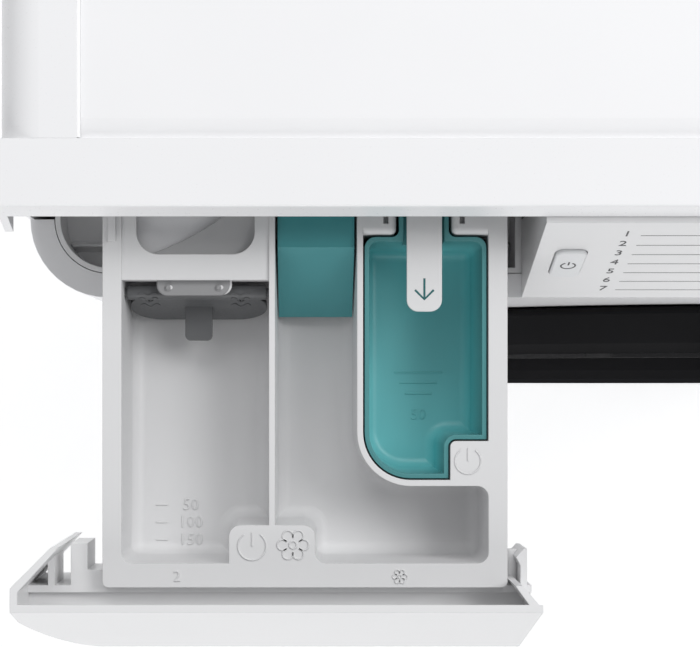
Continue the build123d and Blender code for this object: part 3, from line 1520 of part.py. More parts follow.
# Friction dampers between the tub and the base
damper_x = 190.0
damper_y = front_y + tub_seam + 60.0
damper_radius = 16.0
damper_rod = 6.0
damper_floor = foot_height + base_wall
damper_joint = door_axis_height - tub_radius - 80.0
damper_top = door_axis_height - (tub_radius**2 - (damper_x - damper_rod) ** 2) ** 0.5 - seat_gap
damper_spots = [(-damper_x, damper_y), (damper_x, damper_y)]
with BuildPart() as dampers:
    with BuildSketch(Plane.XY.offset(damper_floor)):
        with Locations(*damper_spots):
            Circle(damper_radius)
    extrude(amount=damper_joint - damper_floor)
    with BuildSketch(Plane.XY.offset(damper_joint)):
        with Locations(*damper_spots):
            Circle(damper_rod)
    extrude(amount=damper_top - damper_joint)
finish(dampers, "dampers")

# Drain pump with its filter tube, the filter that turns out of it, and the hose from the tub
filter_tube = 30.0
filter_bore = 25.0
filter_front = 14.0
pump_front = 92.0
pump_radius = 34.0
pump_length = 38.0
pump_motor = 27.0
pump_motor_length = 50.0
pump_y = front_y + pump_front
with BuildPart() as drain_pump:
    with BuildSketch(front_plane(front_y + filter_front, filter_z, filter_x)):
        Circle(filter_tube)
    extrude(amount=filter_front - pump_front)
    with BuildSketch(front_plane(pump_y, filter_z, filter_x)):
        Circle(pump_radius)
    extrude(amount=-pump_length)
    with BuildSketch(front_plane(pump_y + pump_length, filter_z, filter_x)):
        Circle(pump_motor)
    extrude(amount=-pump_motor_length)
    with BuildSketch(Plane.XY.offset(damper_floor)):
        add(plan_strip(filter_x - pump_motor / 2, filter_x + pump_motor / 2, pump_y, pump_y + pump_length))
    extrude(amount=filter_z - damper_floor)
    with BuildSketch(front_plane(front_y + filter_front, filter_z, filter_x)):
        Circle(filter_bore)
    extrude(amount=filter_front - pump_front, mode=Mode.SUBTRACT)
finish(drain_pump, "drain_pump")

grip_bar = (2 * filter_bore - 8.0, 7.0)
grip_height = 4.0
screen_radius = filter_bore * 0.7
screen_ring = filter_bore * 0.45
screen_hole = filter_bore * 0.15
screen_holes = 6

with BuildPart() as pump_filter:
    with BuildSketch(front_plane(front_y + filter_front, filter_z, filter_x)):
        Circle(filter_bore - seat_gap)
    extrude(amount=-3 * grip_height)
    with BuildSketch(front_plane(front_y + filter_front, filter_z, filter_x)):
        Rectangle(*grip_bar)
    extrude(amount=grip_height)
    with BuildSketch(front_plane(front_y + filter_front + 3 * grip_height, filter_z, filter_x)):
        Circle(screen_radius)
        with PolarLocations(screen_ring, screen_holes):
            Circle(screen_hole, mode=Mode.SUBTRACT)
    extrude(amount=-9 * grip_height)
finish(pump_filter, "pump_filter")

hose_radius = 14.0
hose_x = 120.0
hose_y = pump_y + pump_length / 2
hose_top = door_axis_height - (tub_radius**2 - (hose_x - hose_radius) ** 2) ** 0.5 - seat_gap
with BuildPart() as sump_hose:
    with BuildLine() as hose_path:
        FilletPolyline(
            (hose_x, hose_y, hose_top),
            (hose_x, hose_y, filter_z),
            (filter_x - pump_radius - seat_gap, hose_y, filter_z),
            radius=2 * hose_radius,
        )
    with BuildSketch(Plane(origin=(hose_x, hose_y, hose_top), z_dir=(0, 0, -1))):
        Circle(hose_radius)
    sweep(path=hose_path.line)
finish(sump_hose, "sump_hose")

# Filling hose from the dispenser's spout down to the tub
fill_wall = 3.0
fill_top = house_floor - house_wall - seat_gap
fill_low_x = abs(spout_x) - spout_radius - seat_gap - fill_wall
fill_bottom = door_axis_height + (tub_radius**2 - fill_low_x**2) ** 0.5 + seat_gap
with BuildPart() as fill_hose:
    with BuildSketch(Plane.XY.offset(fill_bottom)):
        with Locations((spout_x, spout_y)):
            Circle(spout_radius + seat_gap + fill_wall)
            Circle(spout_radius + seat_gap, mode=Mode.SUBTRACT)
    extrude(amount=fill_top - fill_bottom)
finish(fill_hose, "fill_hose")

# Back panel: a pressed pan behind the folded rear edges, with holes for what passes through it
pan_margin = 30.0
pan_depth = 16.0
pan_round = 30.0
back_face_y = back_y - sheet - seat_gap
field_y = back_face_y - pan_depth
back_size = (cabinet_width - 2 * (sheet + seat_gap), worktop_bottom - sheet - base_top - 2 * seat_gap)
back_middle_z = base_top + seat_gap + back_size[1] / 2
cover_size = (340.0, 470.0)
cover_z = 420.0
cover_lap = 14.0
valve_from_tray = 27.0
valve_x = tray_right - valve_from_tray
fitting_z = back_middle_z + back_size[1] / 2 - 2 * pan_margin
fitting_neck = 1.0
outlet_x = 150.0
gland_x = 215.0
thread_radius = 13.2
thread_length = 14.0
outlet_radius = 11.0
gland_radius = 9.0
cap_radius = 16.0
plug_radius = cap_radius * 0.6
cap_height = 5.0
plug_length = 12.0
pan_slope = 15.0
cover_slope = 20.0
cover_rise = pan_depth - 4.0
cap_spots = [(x, z) for x in (-225.0, 225.0) for z in (300.0, 640.0)]


with BuildPart() as back_panel:
    with BuildSketch(rear_plane(back_face_y, back_middle_z)):
        Rectangle(*back_size)
    extrude(amount=-sheet)
    with BuildSketch(rear_plane(back_face_y, back_middle_z)):
        RectangleRounded(back_size[0] - 2 * pan_margin, back_size[1] - 2 * pan_margin, pan_round)
    extrude(amount=-pan_depth - sheet, taper=pan_slope)
    with BuildSketch(rear_plane(back_face_y, back_middle_z)):
        inner_margin = 2 * pan_margin + 2 * sheet
        RectangleRounded(back_size[0] - inner_margin, back_size[1] - inner_margin, pan_round - sheet)
    extrude(amount=-pan_depth, taper=pan_slope, mode=Mode.SUBTRACT)
    with BuildSketch(rear_plane(back_face_y)):
        with Locations((0, cover_z)):
            RectangleRounded(cover_size[0] - 2 * cover_lap, cover_size[1] - 2 * cover_lap, pan_round)
        for spot_x, spot_z, radius in (
            (valve_x, fitting_z, thread_radius),
            (outlet_x, fitting_z, outlet_radius),
            (gland_x, fitting_z, gland_radius),
        ):
            with Locations((-spot_x, spot_z)):
                Circle(radius + seat_gap)
        with Locations(*cap_spots):
            Circle(plug_radius + seat_gap)
    extrude(amount=-pan_depth - 2 * sheet, mode=Mode.SUBTRACT)
finish(back_panel, "back_panel")

# Cover over the belt, screwed on the back panel's field
with BuildPart() as rear_cover:
    with BuildSketch(rear_plane(field_y, cover_z)):
        RectangleRounded(*cover_size, pan_round)
    extrude(amount=sheet)
    with BuildSketch(rear_plane(field_y, cover_z)):
        RectangleRounded(cover_size[0] - 3 * cover_lap, cover_size[1] - 3 * cover_lap, pan_round)
    extrude(amount=cover_rise, taper=cover_slope)
    with BuildSketch(rear_plane(field_y, cover_z)):
        RectangleRounded(cover_size[0] - 4 * cover_lap, cover_size[1] - 4 * cover_lap, pan_round)
    extrude(amount=cover_rise - sheet, taper=cover_slope, mode=Mode.SUBTRACT)
finish(rear_cover, "rear_cover")

# Plugs in the holes of the transport bolts
with BuildPart() as transport_plugs:
    with BuildSketch(rear_plane(field_y)):
        with Locations(*cap_spots):
            Circle(cap_radius)
    extrude(amount=cap_height, taper=cover_slope)
    with BuildSketch(rear_plane(field_y)):
        with Locations(*cap_spots):
            Circle(plug_radius)
    extrude(amount=-plug_length)
finish(transport_plugs, "transport_plugs")

# Water inlet valve with its threaded inlet, and the tube from it to the dispenser
valve_size = (40.0, 66.0)
valve_depth = 52.0
valve_rise = 12.0
tube_z = tray_rim - 22.0
valve_front_y = field_y - sheet - valve_depth
tube_radius = 8.0
valve_round = 4.0
thread_wall = 4.0
fitting_end_y = field_y + fitting_neck + thread_length
with BuildPart() as inlet_valve:
    with BuildSketch(rear_plane(field_y - sheet, fitting_z + valve_rise, valve_x)):
        RectangleRounded(*valve_size, valve_round)
    extrude(amount=-valve_depth)
    with BuildSketch(rear_plane(field_y - sheet, fitting_z, valve_x)):
        Circle(thread_radius - fitting_neck)
    extrude(amount=sheet + fitting_neck)
    with BuildSketch(rear_plane(field_y + fitting_neck, fitting_z, valve_x)):
        Circle(thread_radius)
    extrude(amount=thread_length)
    with BuildSketch(rear_plane(fitting_end_y, fitting_z, valve_x)):
        Circle(thread_radius - thread_wall)
    extrude(amount=-thread_length, mode=Mode.SUBTRACT)
    with BuildSketch(rear_plane(valve_front_y, tube_z, valve_x)):
        Circle(tube_radius)
    extrude(amount=house_back_y + house_wall + seat_gap - valve_front_y)
finish(inlet_valve, "inlet_valve")

# Drain outlet and mains cable inlet, each flanged against the back panel
outlet_flange = (7.0, 6.0)
outlet_wall = 2.5
with BuildPart() as drain_outlet:
    with BuildSketch(rear_plane(field_y - sheet, fitting_z, outlet_x)):
        Circle(outlet_radius + outlet_flange[0])
    extrude(amount=-outlet_flange[1])
    with BuildSketch(rear_plane(field_y - sheet, fitting_z, outlet_x)):
        Circle(outlet_radius - fitting_neck)
    extrude(amount=sheet + fitting_neck)
    with BuildSketch(rear_plane(field_y + fitting_neck, fitting_z, outlet_x)):
        Circle(outlet_radius)
    extrude(amount=thread_length)
    with BuildSketch(rear_plane(fitting_end_y, fitting_z, outlet_x)):
        Circle(outlet_radius - outlet_wall)
    extrude(amount=-thread_length, mode=Mode.SUBTRACT)
finish(drain_outlet, "drain_outlet")

with BuildPart() as cable_gland:
    with BuildSketch(rear_plane(field_y - sheet, fitting_z, gland_x)):
        Circle(gland_radius + 5)
    extrude(amount=-5)
    with BuildSketch(rear_plane(field_y - sheet, fitting_z, gland_x)):
        Circle(gland_radius)
    extrude(amount=sheet + thread_length / 2)
    with BuildSketch(rear_plane(field_y + thread_length, fitting_z, gland_x)):
        Circle(gland_radius / 2)
    extrude(amount=-2 * thread_length - 2 * sheet, mode=Mode.SUBTRACT)
finish(cable_gland, "cable_gland")
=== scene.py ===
import json
import math

import bmesh
import bpy
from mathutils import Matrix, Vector


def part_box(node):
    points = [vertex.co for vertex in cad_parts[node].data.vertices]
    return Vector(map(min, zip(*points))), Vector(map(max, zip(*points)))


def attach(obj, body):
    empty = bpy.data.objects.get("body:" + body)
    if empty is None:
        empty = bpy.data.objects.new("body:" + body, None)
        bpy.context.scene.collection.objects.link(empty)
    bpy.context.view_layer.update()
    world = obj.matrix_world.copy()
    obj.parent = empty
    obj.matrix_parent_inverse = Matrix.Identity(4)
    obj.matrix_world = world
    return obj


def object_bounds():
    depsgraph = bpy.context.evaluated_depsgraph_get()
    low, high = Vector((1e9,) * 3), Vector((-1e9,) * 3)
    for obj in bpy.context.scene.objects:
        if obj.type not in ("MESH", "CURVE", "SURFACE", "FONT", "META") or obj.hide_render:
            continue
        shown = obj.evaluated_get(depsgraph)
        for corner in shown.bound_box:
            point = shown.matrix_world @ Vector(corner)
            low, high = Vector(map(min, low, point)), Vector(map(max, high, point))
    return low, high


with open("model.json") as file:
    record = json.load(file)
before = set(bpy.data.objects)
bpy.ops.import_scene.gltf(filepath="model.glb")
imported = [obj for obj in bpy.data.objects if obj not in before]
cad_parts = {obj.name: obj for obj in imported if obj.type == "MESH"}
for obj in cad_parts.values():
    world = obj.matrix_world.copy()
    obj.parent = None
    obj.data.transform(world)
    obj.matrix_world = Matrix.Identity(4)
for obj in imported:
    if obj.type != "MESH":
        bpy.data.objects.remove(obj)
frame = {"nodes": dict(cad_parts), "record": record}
cad_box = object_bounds()
nodes = frame["nodes"]
MM = 0.001

# Values of the materials
NOISE_LOW, NOISE_HIGH = 0.3, 0.7
EDGE_RADIUS, EDGE_SAMPLES = 0.4 * MM, 6
CLOUD_SCALE, CLOUD_DETAIL = 14.0, 4.0
GRAIN_DETAIL, GRAIN_DEPTH = 2.0, 0.4 * MM
GRAIN_GLOSS = (0.9, 1.12)
COAT_ROUGHNESS = 0.08
STREAK_SCALE, STREAK_DETAIL, STREAK_ROUGHNESS = 60.0, 4.0, 0.6
STREAK_SHADE, STREAK_DEPTH = 0.86, 0.3 * MM
STREAK_GLOSS = (0.8, 1.2)
PORE_SCALE, PORE_DETAIL, PORE_ROUGHNESS = 160.0, 6.0, 0.7
PORE_SHADE, PORE_RELIEF, PORE_DEPTH = 0.7, 0.4, 2.0 * MM
WAVE_SCALE, WAVE_DETAIL = 9.0, 2.0
WAVE_RELIEF, WAVE_DEPTH = 0.05, 2.0 * MM
GLASS_LOW, GLASS_HIGH = (0.90, 0.94, 0.94), (0.96, 0.98, 0.98)
# Teal cup colours paint light: a shaded, darker rim and a lit, paler floor
CUP_RIM_SHADED, CUP_FLOOR_LIT = (0.075, 0.27, 0.28), (0.21, 0.62, 0.64)
CUP_START, CUP_END = 0.05, 0.7
CUP_GRAIN, CUP_GLOSS = 800.0, (0.36, 0.40)
CUP_RELIEF, CUP_COAT = 0.005, 0.05

# Procedural materials


def set_inputs(node, values):
    """Gives the named inputs of a node their values."""
    for name, value in values.items():
        node.inputs[name].default_value = value


def new_material(name):
    """A material with its node tree, its shader and the object's own coordinates."""
    mat = bpy.data.materials.new(name)
    mat.use_nodes = True
    tree = mat.node_tree
    shader = tree.nodes["Principled BSDF"]
    coords = tree.nodes.new("ShaderNodeTexCoord")
    return mat, tree, shader, coords.outputs["Object"]


def noise(tree, where, scale, detail, roughness=0.5):
    """A noise texture over the given coordinates; its Fac output."""
    node = tree.nodes.new("ShaderNodeTexNoise")
    set_inputs(node, {"Scale": scale, "Detail": detail, "Roughness": roughness})
    tree.links.new(where, node.inputs["Vector"])
    return node.outputs["Fac"]


def ramp(tree, fac, low, high, start=NOISE_LOW, end=NOISE_HIGH):
    """Colours between low and high as fac goes from start to end."""
    node = tree.nodes.new("ShaderNodeValToRGB")
    node.color_ramp.elements[0].position = start
    node.color_ramp.elements[0].color = (*low, 1)
    node.color_ramp.elements[1].position = end
    node.color_ramp.elements[1].color = (*high, 1)
    tree.links.new(fac, node.inputs["Fac"])
    return node.outputs["Color"]


def spread(tree, fac, low, high):
    """A number between low and high as fac goes through the middle of its range."""
    node = tree.nodes.new("ShaderNodeMapRange")
    set_inputs(node, {"From Min": NOISE_LOW, "From Max": NOISE_HIGH, "To Min": low, "To Max": high})
    tree.links.new(fac, node.inputs["Value"])
    return node.outputs["Result"]


def bump(tree, shader, fac, strength, distance):
    """Small relief from fac, over edges that look slightly rounded."""
    soft = tree.nodes.new("ShaderNodeBevel")
    soft.samples = EDGE_SAMPLES
    set_inputs(soft, {"Radius": EDGE_RADIUS})
    node = tree.nodes.new("ShaderNodeBump")
    set_inputs(node, {"Strength": strength, "Distance": distance})
    tree.links.new(soft.outputs["Normal"], node.inputs["Normal"])
    tree.links.new(fac, node.inputs["Height"])
    tree.links.new(node.outputs["Normal"], shader.inputs["Normal"])


def moulded(name, colour, rough, vary, grain, relief, coat=0.0, shine=0.4):
    """Moulded plastic or paint: faint clouds of colour, a fine grain and uneven gloss."""
    mat, tree, shader, where = new_material(name)
    clouds = noise(tree, where, CLOUD_SCALE, CLOUD_DETAIL)
    fine = noise(tree, where, grain, GRAIN_DETAIL)
    low = tuple(c * (1 - vary) for c in colour)
    high = tuple(min(c * (1 + vary), 1.0) for c in colour)
    tree.links.new(ramp(tree, clouds, low, high), shader.inputs["Base Color"])
    gloss = spread(tree, fine, rough * GRAIN_GLOSS[0], min(rough * GRAIN_GLOSS[1], 1.0))
    tree.links.new(gloss, shader.inputs["Roughness"])
    bump(tree, shader, fine, relief, GRAIN_DEPTH)
    set_inputs(shader, {"Coat Weight": coat, "Coat Roughness": COAT_ROUGHNESS, "Specular IOR Level": shine})
    return mat


def metal(name, colour, rough, streak, relief=0.05):
    """Rolled or turned metal: streaks along one direction."""
    mat, tree, shader, where = new_material(name)
    stretch = tree.nodes.new("ShaderNodeMapping")
    set_inputs(stretch, {"Scale": streak})
    tree.links.new(where, stretch.inputs["Vector"])
    lines = noise(tree, stretch.outputs["Vector"], STREAK_SCALE, STREAK_DETAIL, STREAK_ROUGHNESS)
    low = tuple(c * STREAK_SHADE for c in colour)
    tree.links.new(ramp(tree, lines, low, colour), shader.inputs["Base Color"])
    gloss = spread(tree, lines, rough * STREAK_GLOSS[0], rough * STREAK_GLOSS[1])
    tree.links.new(gloss, shader.inputs["Roughness"])
    bump(tree, shader, lines, relief, STREAK_DEPTH)
    set_inputs(shader, {"Metallic": 1.0})
    return mat


def rough_stone(name, colour):
    """Cast concrete with pores."""
    mat, tree, shader, where = new_material(name)
    pores = noise(tree, where, PORE_SCALE, PORE_DETAIL, PORE_ROUGHNESS)
    low = tuple(c * PORE_SHADE for c in colour)
    tree.links.new(ramp(tree, pores, low, colour), shader.inputs["Base Color"])
    set_inputs(shader, {"Roughness": 0.9})
    bump(tree, shader, pores, PORE_RELIEF, PORE_DEPTH)
    return mat


def clear_glass(name):
    """Pressed clear glass with a faint waviness."""
    mat, tree, shader, where = new_material(name)
    waves = noise(tree, where, WAVE_SCALE, WAVE_DETAIL)
    tree.links.new(ramp(tree, waves, GLASS_LOW, GLASS_HIGH), shader.inputs["Base Color"])
    set_inputs(shader, {"Roughness": 0.03, "IOR": 1.5, "Transmission Weight": 0.9})
    bump(tree, shader, waves, WAVE_RELIEF, WAVE_DEPTH)
    return mat


def teal_painted_depth_light(name, rim_z, floor_z):
    """Clear teal plastic with painted light: darker at its rim and paler towards its floor, where light
    comes from all sides.
    """
    mat, tree, shader, where = new_material(name)
    split = tree.nodes.new("ShaderNodeSeparateXYZ")
    tree.links.new(where, split.inputs["Vector"])
    depth = tree.nodes.new("ShaderNodeMapRange")
    set_inputs(depth, {"From Min": rim_z, "From Max": floor_z})
    tree.links.new(split.outputs["Z"], depth.inputs["Value"])
    colour = ramp(tree, depth.outputs["Result"], CUP_RIM_SHADED, CUP_FLOOR_LIT, CUP_START, CUP_END)
    tree.links.new(colour, shader.inputs["Base Color"])
    fine = noise(tree, where, CUP_GRAIN, GRAIN_DETAIL)
    tree.links.new(spread(tree, fine, *CUP_GLOSS), shader.inputs["Roughness"])
    bump(tree, shader, fine, CUP_RELIEF, GRAIN_DEPTH)
    set_inputs(shader, {"Coat Weight": CUP_COAT})
    return mat


# Moulded looks: colour, roughness, change of colour, grain, relief, then coat and shine where they differ
MOULDED = {
    "white_steel": ((0.90, 0.90, 0.91), 0.35, 0.008, 1400.0, 0.012, 0.1),
    "white_plastic": ((0.90, 0.90, 0.91), 0.30, 0.008, 1100.0, 0.012, 0.1),
    "worktop_white": ((0.91, 0.91, 0.92), 0.40, 0.008, 700.0, 0.03),
    # A darker white that paints the shade falling on the leaning panel and drawer front under the worktop
    "shaded_panel_white": ((0.78, 0.78, 0.785), 0.36, 0.01, 1000.0, 0.02),
    # Whiter than the worktop, painting a highlight along the bead
    "bead_highlight_white": ((0.98, 0.98, 0.985), 0.4, 0.004, 900.0, 0.01),
    "power_grey": ((0.76, 0.77, 0.78), 0.38, 0.02, 1200.0, 0.03),
    "display_black": ((0.012, 0.012, 0.014), 0.08, 0.1, 600.0, 0.01, 0.4),
    "tray_grey": ((0.72, 0.72, 0.725), 0.42, 0.012, 1000.0, 0.03),
    "surround_grey": ((0.86, 0.86, 0.865), 0.38, 0.012, 1000.0, 0.03),
    "clip_grey": ((0.29, 0.29, 0.295), 0.45, 0.03, 900.0, 0.03),
    # Grey of the sheet that paints the shadow under the bridge's window
    "painted_shadow_grey": ((0.50, 0.50, 0.505), 0.45, 0.03, 900.0, 0.03),
    "teal": ((0.062, 0.29, 0.31), 0.36, 0.03, 800.0, 0.006, 0.05),
    "flap_grey": ((0.115, 0.118, 0.122), 0.42, 0.06, 1000.0, 0.06),
    "door_black": ((0.012, 0.012, 0.013), 0.5, 0.12, 900.0, 0.05, 0.0, 0.06),
    "bezel_black": ((0.014, 0.014, 0.015), 0.55, 0.1, 900.0, 0.03, 0.0, 0.0),
    "door_glass": ((0.006, 0.006, 0.007), 0.09, 0.1, 300.0, 0.004, 0.0, 0.5),
    "rubber_grey": ((0.20, 0.205, 0.21), 0.75, 0.08, 500.0, 0.2),
    "rubber_black": ((0.02, 0.02, 0.02), 0.8, 0.15, 400.0, 0.25),
    "motor_dark": ((0.05, 0.05, 0.055), 0.5, 0.08, 600.0, 0.15),
    "tub_plastic": ((0.52, 0.53, 0.53), 0.55, 0.04, 500.0, 0.15),
    "grey_plastic": ((0.28, 0.285, 0.29), 0.5, 0.05, 800.0, 0.1),
    "board_green": ((0.02, 0.11, 0.05), 0.4, 0.1, 500.0, 0.1),
    "print_grey": ((0.07, 0.072, 0.075), 0.5, 0.06, 900.0, 0.03),
    "print_teal": ((0.02, 0.13, 0.135), 0.45, 0.06, 900.0, 0.03),
    "print_light": ((0.75, 0.82, 0.84), 0.3, 0.04, 900.0, 0.02),
    "floor_look": ((0.92, 0.92, 0.92), 0.6, 0.005, 30.0, 0.02),
}
# Metal looks: colour, roughness, stretch of the streaks, then relief where it differs
METAL = {
    "knob_silver": ((0.52, 0.53, 0.54), 0.46, (1, 1, 12)),
    "stainless": ((0.62, 0.62, 0.62), 0.25, (1, 14, 1)),
    "zinc": ((0.56, 0.57, 0.58), 0.45, (3, 3, 1), 0.02),
    "steel": ((0.56, 0.56, 0.57), 0.3, (1, 1, 10)),
    "cast": ((0.60, 0.61, 0.62), 0.5, (4, 4, 4), 0.2),
}
CONCRETE = (0.45, 0.44, 0.42)

cup_low, cup_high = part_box("dosing_tray")
looks = {name: moulded(name, *values) for name, values in MOULDED.items()}
looks.update({name: metal(name, *values) for name, values in METAL.items()})
looks["concrete"] = rough_stone("concrete", CONCRETE)
looks["bowl_glass"] = clear_glass("bowl_glass")
# Teal cup with painted light, paler towards its floor
looks["teal_cup"] = teal_painted_depth_light("teal_cup", cup_high[2], cup_low[2])

# Nodes with a look of their own; the others take the look of their slot
OWN_LOOKS = {
    "dosing_tray": "teal_cup",
    # The leaning panel and drawer front take the darker white that paints shade on them
    "control_panel": "shaded_panel_white",
    "drawer_front": "shaded_panel_white",
    "drawer_surround": "surround_grey",
}
for part in frame["record"]["subparts"]:
    mesh = nodes[part["node"]].data
    mesh.materials.clear()
    mesh.materials.append(looks[OWN_LOOKS.get(part["node"], part["material_slot"])])

# Places on the CAD surfaces

RAY_LIFT = 10 * MM
FACE_LIFT = 100 * MM


def hit(node, start, direction):
    """The point and the normal where a ray from start first meets a CAD node."""
    found, point, normal, _ = nodes[node].ray_cast(Vector(start), Vector(direction))
    if not found:
        raise ValueError("no surface of " + node + " there")
    return point, normal


def on_top(node):
    """A map from (x, y, height) to a point that high above the node's upper surface."""
    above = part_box(node)[1][2] + RAY_LIFT

    def place(u, v, height):
        point, _ = hit(node, (u, v, above), (0, 0, -1))
        return point + Vector((0, 0, height))

    return place


def on_face(node, start, direction, across=(1, 0, 0)):
    """A map from (across, up, height) to a point on the plane of the face that the ray meets."""
    point, normal = hit(node, start, direction)
    side = (Vector(across) - normal * normal.dot(Vector(across))).normalized()
    up = normal.cross(side)

    def place(u, v, height):
        return point + side * u + up * v + normal * height

    return place


def middle(node):
    """The middle of a node's box."""
    low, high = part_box(node)
    return (Vector(low) + Vector(high)) / 2


# Marks and shapes that several pieces use

SUNK = 0.3 * MM
PRINT = 0.08 * MM
EMBOSS = 0.35 * MM
STROKE_TOP = 0.7
RING_STEPS = 12
OPEN_STEPS, OPEN_TOP = 20, 90
LOBED_RINGS = 2
EYE_SIZE = 0.24
PETALS, PETAL_REACH, PETAL_SIZE = 6, 0.66, 0.34
PETAL_SPREAD, PETAL_STEPS = 140, 10


def skin(bm, rings, closed=False):
    """Faces between neighbouring rings of vertices; the ends are filled, or joined if closed."""
    if closed:
        rings = rings + rings[:1]
    for near, far in zip(rings, rings[1:]):
        for i in range(len(near)):
            k = (i + 1) % len(near)
            bm.faces.new((near[i], near[k], far[k], far[i]))
    if not closed:
        bm.faces.new(rings[-1])
        bm.faces.new(reversed(rings[0]))


def level_ring(bm, outline, z):
    """The vertices of an outline at one height."""
    return [bm.verts.new((x, y, z)) for x, y in outline]


def turned(bm, place, centre, profile, sides, lobes=1.0, closed=False):
    """A turned shape from (radius, height) rings, the last ones drawn in by lobes at every other side."""
    rings = []
    for index, (radius, height) in enumerate(profile):
        row = []
        for i in range(sides):
            share = lobes if i % 2 and index >= len(profile) - LOBED_RINGS else 1.0
            turn = math.tau * i / sides
            across = centre[0] + radius * share * math.cos(turn)
            up = centre[1] + radius * share * math.sin(turn)
            row.append(bm.verts.new(place(across, up, height)))
        rings.append(row)
    skin(bm, rings, closed)


def stroke(bm, place, points, width, height, closed=False):
    """A raised ribbon along the points, narrower at its top, with its foot below the surface."""
    count = len(points)
    rows = []
    for i, (u, v) in enumerate(points):
        before = points[i - 1] if i or closed else points[0]
        after = points[(i + 1) % count] if i + 1 < count or closed else points[-1]
        run = Vector((after[0] - before[0], after[1] - before[1])).normalized()
        off = Vector((-run.y, run.x)) * width / 2
        row = []
        for share, level in ((-1.0, -SUNK), (-STROKE_TOP, height), (STROKE_TOP, height), (1.0, -SUNK)):
            row.append(bm.verts.new(place(u + off.x * share, v + off.y * share, level)))
        rows.append(row)
    skin(bm, rows, closed)


def arc(centre, radius, start, end, steps):
    """Points along an arc, its angles in degrees from the right."""
    turns = [math.radians(start + (end - start) * i / steps) for i in range(steps + 1)]
    return [(centre[0] + radius * math.cos(t), centre[1] + radius * math.sin(t)) for t in turns]


def ring(bm, place, centre, radius, width, height):
    """A closed raised circle."""
    stroke(bm, place, arc(centre, radius, 0, 360, RING_STEPS)[:-1], width, height, closed=True)


def open_ring(bm, place, centre, radius, gap, stem, width, height):
    """A circle open at the top by the gap on each side, with an upright stroke between two levels."""
    circle = arc(centre, radius, OPEN_TOP + gap, OPEN_TOP + 360 - gap, OPEN_STEPS)
    stroke(bm, place, circle, width, height)
    stroke(bm, place, [(centre[0], centre[1] + level) for level in stem], width, height)


def flower(bm, place, centre, radius, width, height):
    """A flower of round petals about a small ring."""
    ring(bm, place, centre, radius * EYE_SIZE, width, height)
    petals = arc(centre, radius * PETAL_REACH, 0, 360, PETALS)[:-1]
    for i, petal in enumerate(petals):
        turn = 360 * i / PETALS
        outline = arc(petal, radius * PETAL_SIZE, turn - PETAL_SPREAD, turn + PETAL_SPREAD, PETAL_STEPS)
        stroke(bm, place, outline, width, height)


def numeral(bm, place, text, centre, size, height):
    """A number as a raised shape, about its centre."""
    curve = bpy.data.curves.new("numeral", "FONT")
    curve.body = text
    curve.size = size
    curve.align_x = "CENTER"
    curve.align_y = "CENTER"
    curve.resolution_u = 2
    curve.extrude = 1.0
    shape = bpy.data.objects.new("numeral", curve)
    mesh = bpy.data.meshes.new_from_object(shape)
    verts = []
    for vert in mesh.vertices:
        level = height if vert.co.z > 0 else -SUNK
        verts.append(bm.verts.new(place(centre[0] + vert.co.x, centre[1] + vert.co.y, level)))
    for face in mesh.polygons:
        bm.faces.new([verts[i] for i in face.vertices])
    bpy.data.objects.remove(shape)
    bpy.data.curves.remove(curve)
    bpy.data.meshes.remove(mesh)


def make_piece(name, bm, look, body):
    """The finished mesh as a piece that moves with a body."""
    bmesh.ops.recalc_face_normals(bm, faces=bm.faces)
    mesh = bpy.data.meshes.new(name)
    bm.to_mesh(mesh)
    bm.free()
    mesh.materials.append(looks[look])
    piece = bpy.data.objects.new(name, mesh)
    bpy.context.scene.collection.objects.link(piece)
    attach(piece, body)
    return piece


# Arrow printed on the release tab
tab_low, tab_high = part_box("release_tab")
tab_top = on_top("release_tab")
arrow_x = (tab_low[0] + tab_high[0]) / 2
arrow_y = tab_low[1] + 4.3 * MM
arrow_shaft = (0.4 * MM, 7.4 * MM)
arrow_head = 3.3 * MM
arrow_width = 1.0 * MM
bm = bmesh.new()
stroke(bm, tab_top, [(arrow_x, arrow_y + along) for along in arrow_shaft], arrow_width, PRINT)
head = [(arrow_x + side * arrow_head, arrow_y + abs(side) * arrow_head) for side in (-1, 0, 1)]
stroke(bm, tab_top, head, arrow_width, PRINT)
make_piece("tab_arrow", bm, "print_teal", "release_tab")

# Plane of the leaning panel, at a bare place left of the dial
dial_offset = 60 * MM
panel_middle = middle("control_panel")
bare_spot = (middle("program_knob").x - dial_offset, panel_middle.y - 2 * FACE_LIFT, panel_middle.z)
lean_point, lean_normal = hit("control_panel", bare_spot, (0, 1, 0))


def on_control(node):
    """The outer face of a control, about the middle line of the leaning panel."""
    start = Vector((middle(node).x, lean_point.y, lean_point.z)) + lean_normal * FACE_LIFT
    return on_face(node, start, -lean_normal)


# Power sign on the power button
power_radius, power_gap = 2.6 * MM, 30
power_stem = (0.6 * MM, 3.3 * MM)
power_width = 0.8 * MM
bm = bmesh.new()
open_ring(bm, on_control("power_button"), (0, 0), power_radius, power_gap, power_stem, power_width, PRINT)
make_piece("power_sign", bm, "print_grey", "power_button")

# Triangle and two bars on the start button
start_left, start_tip, start_half = -3.2 * MM, 0.6 * MM, 2.4 * MM
start_bars = (2.0 * MM, 3.6 * MM)
start_width = 0.5 * MM
bm = bmesh.new()
start_face = on_control("start_button")
triangle = [(start_left, -start_half), (start_tip, 0), (start_left, start_half)]
stroke(bm, start_face, triangle, start_width, PRINT, closed=True)
for bar_x in start_bars:
    stroke(bm, start_face, [(bar_x, -start_half), (bar_x, start_half)], start_width, PRINT)
make_piece("start_sign", bm, "print_grey", "start_button")

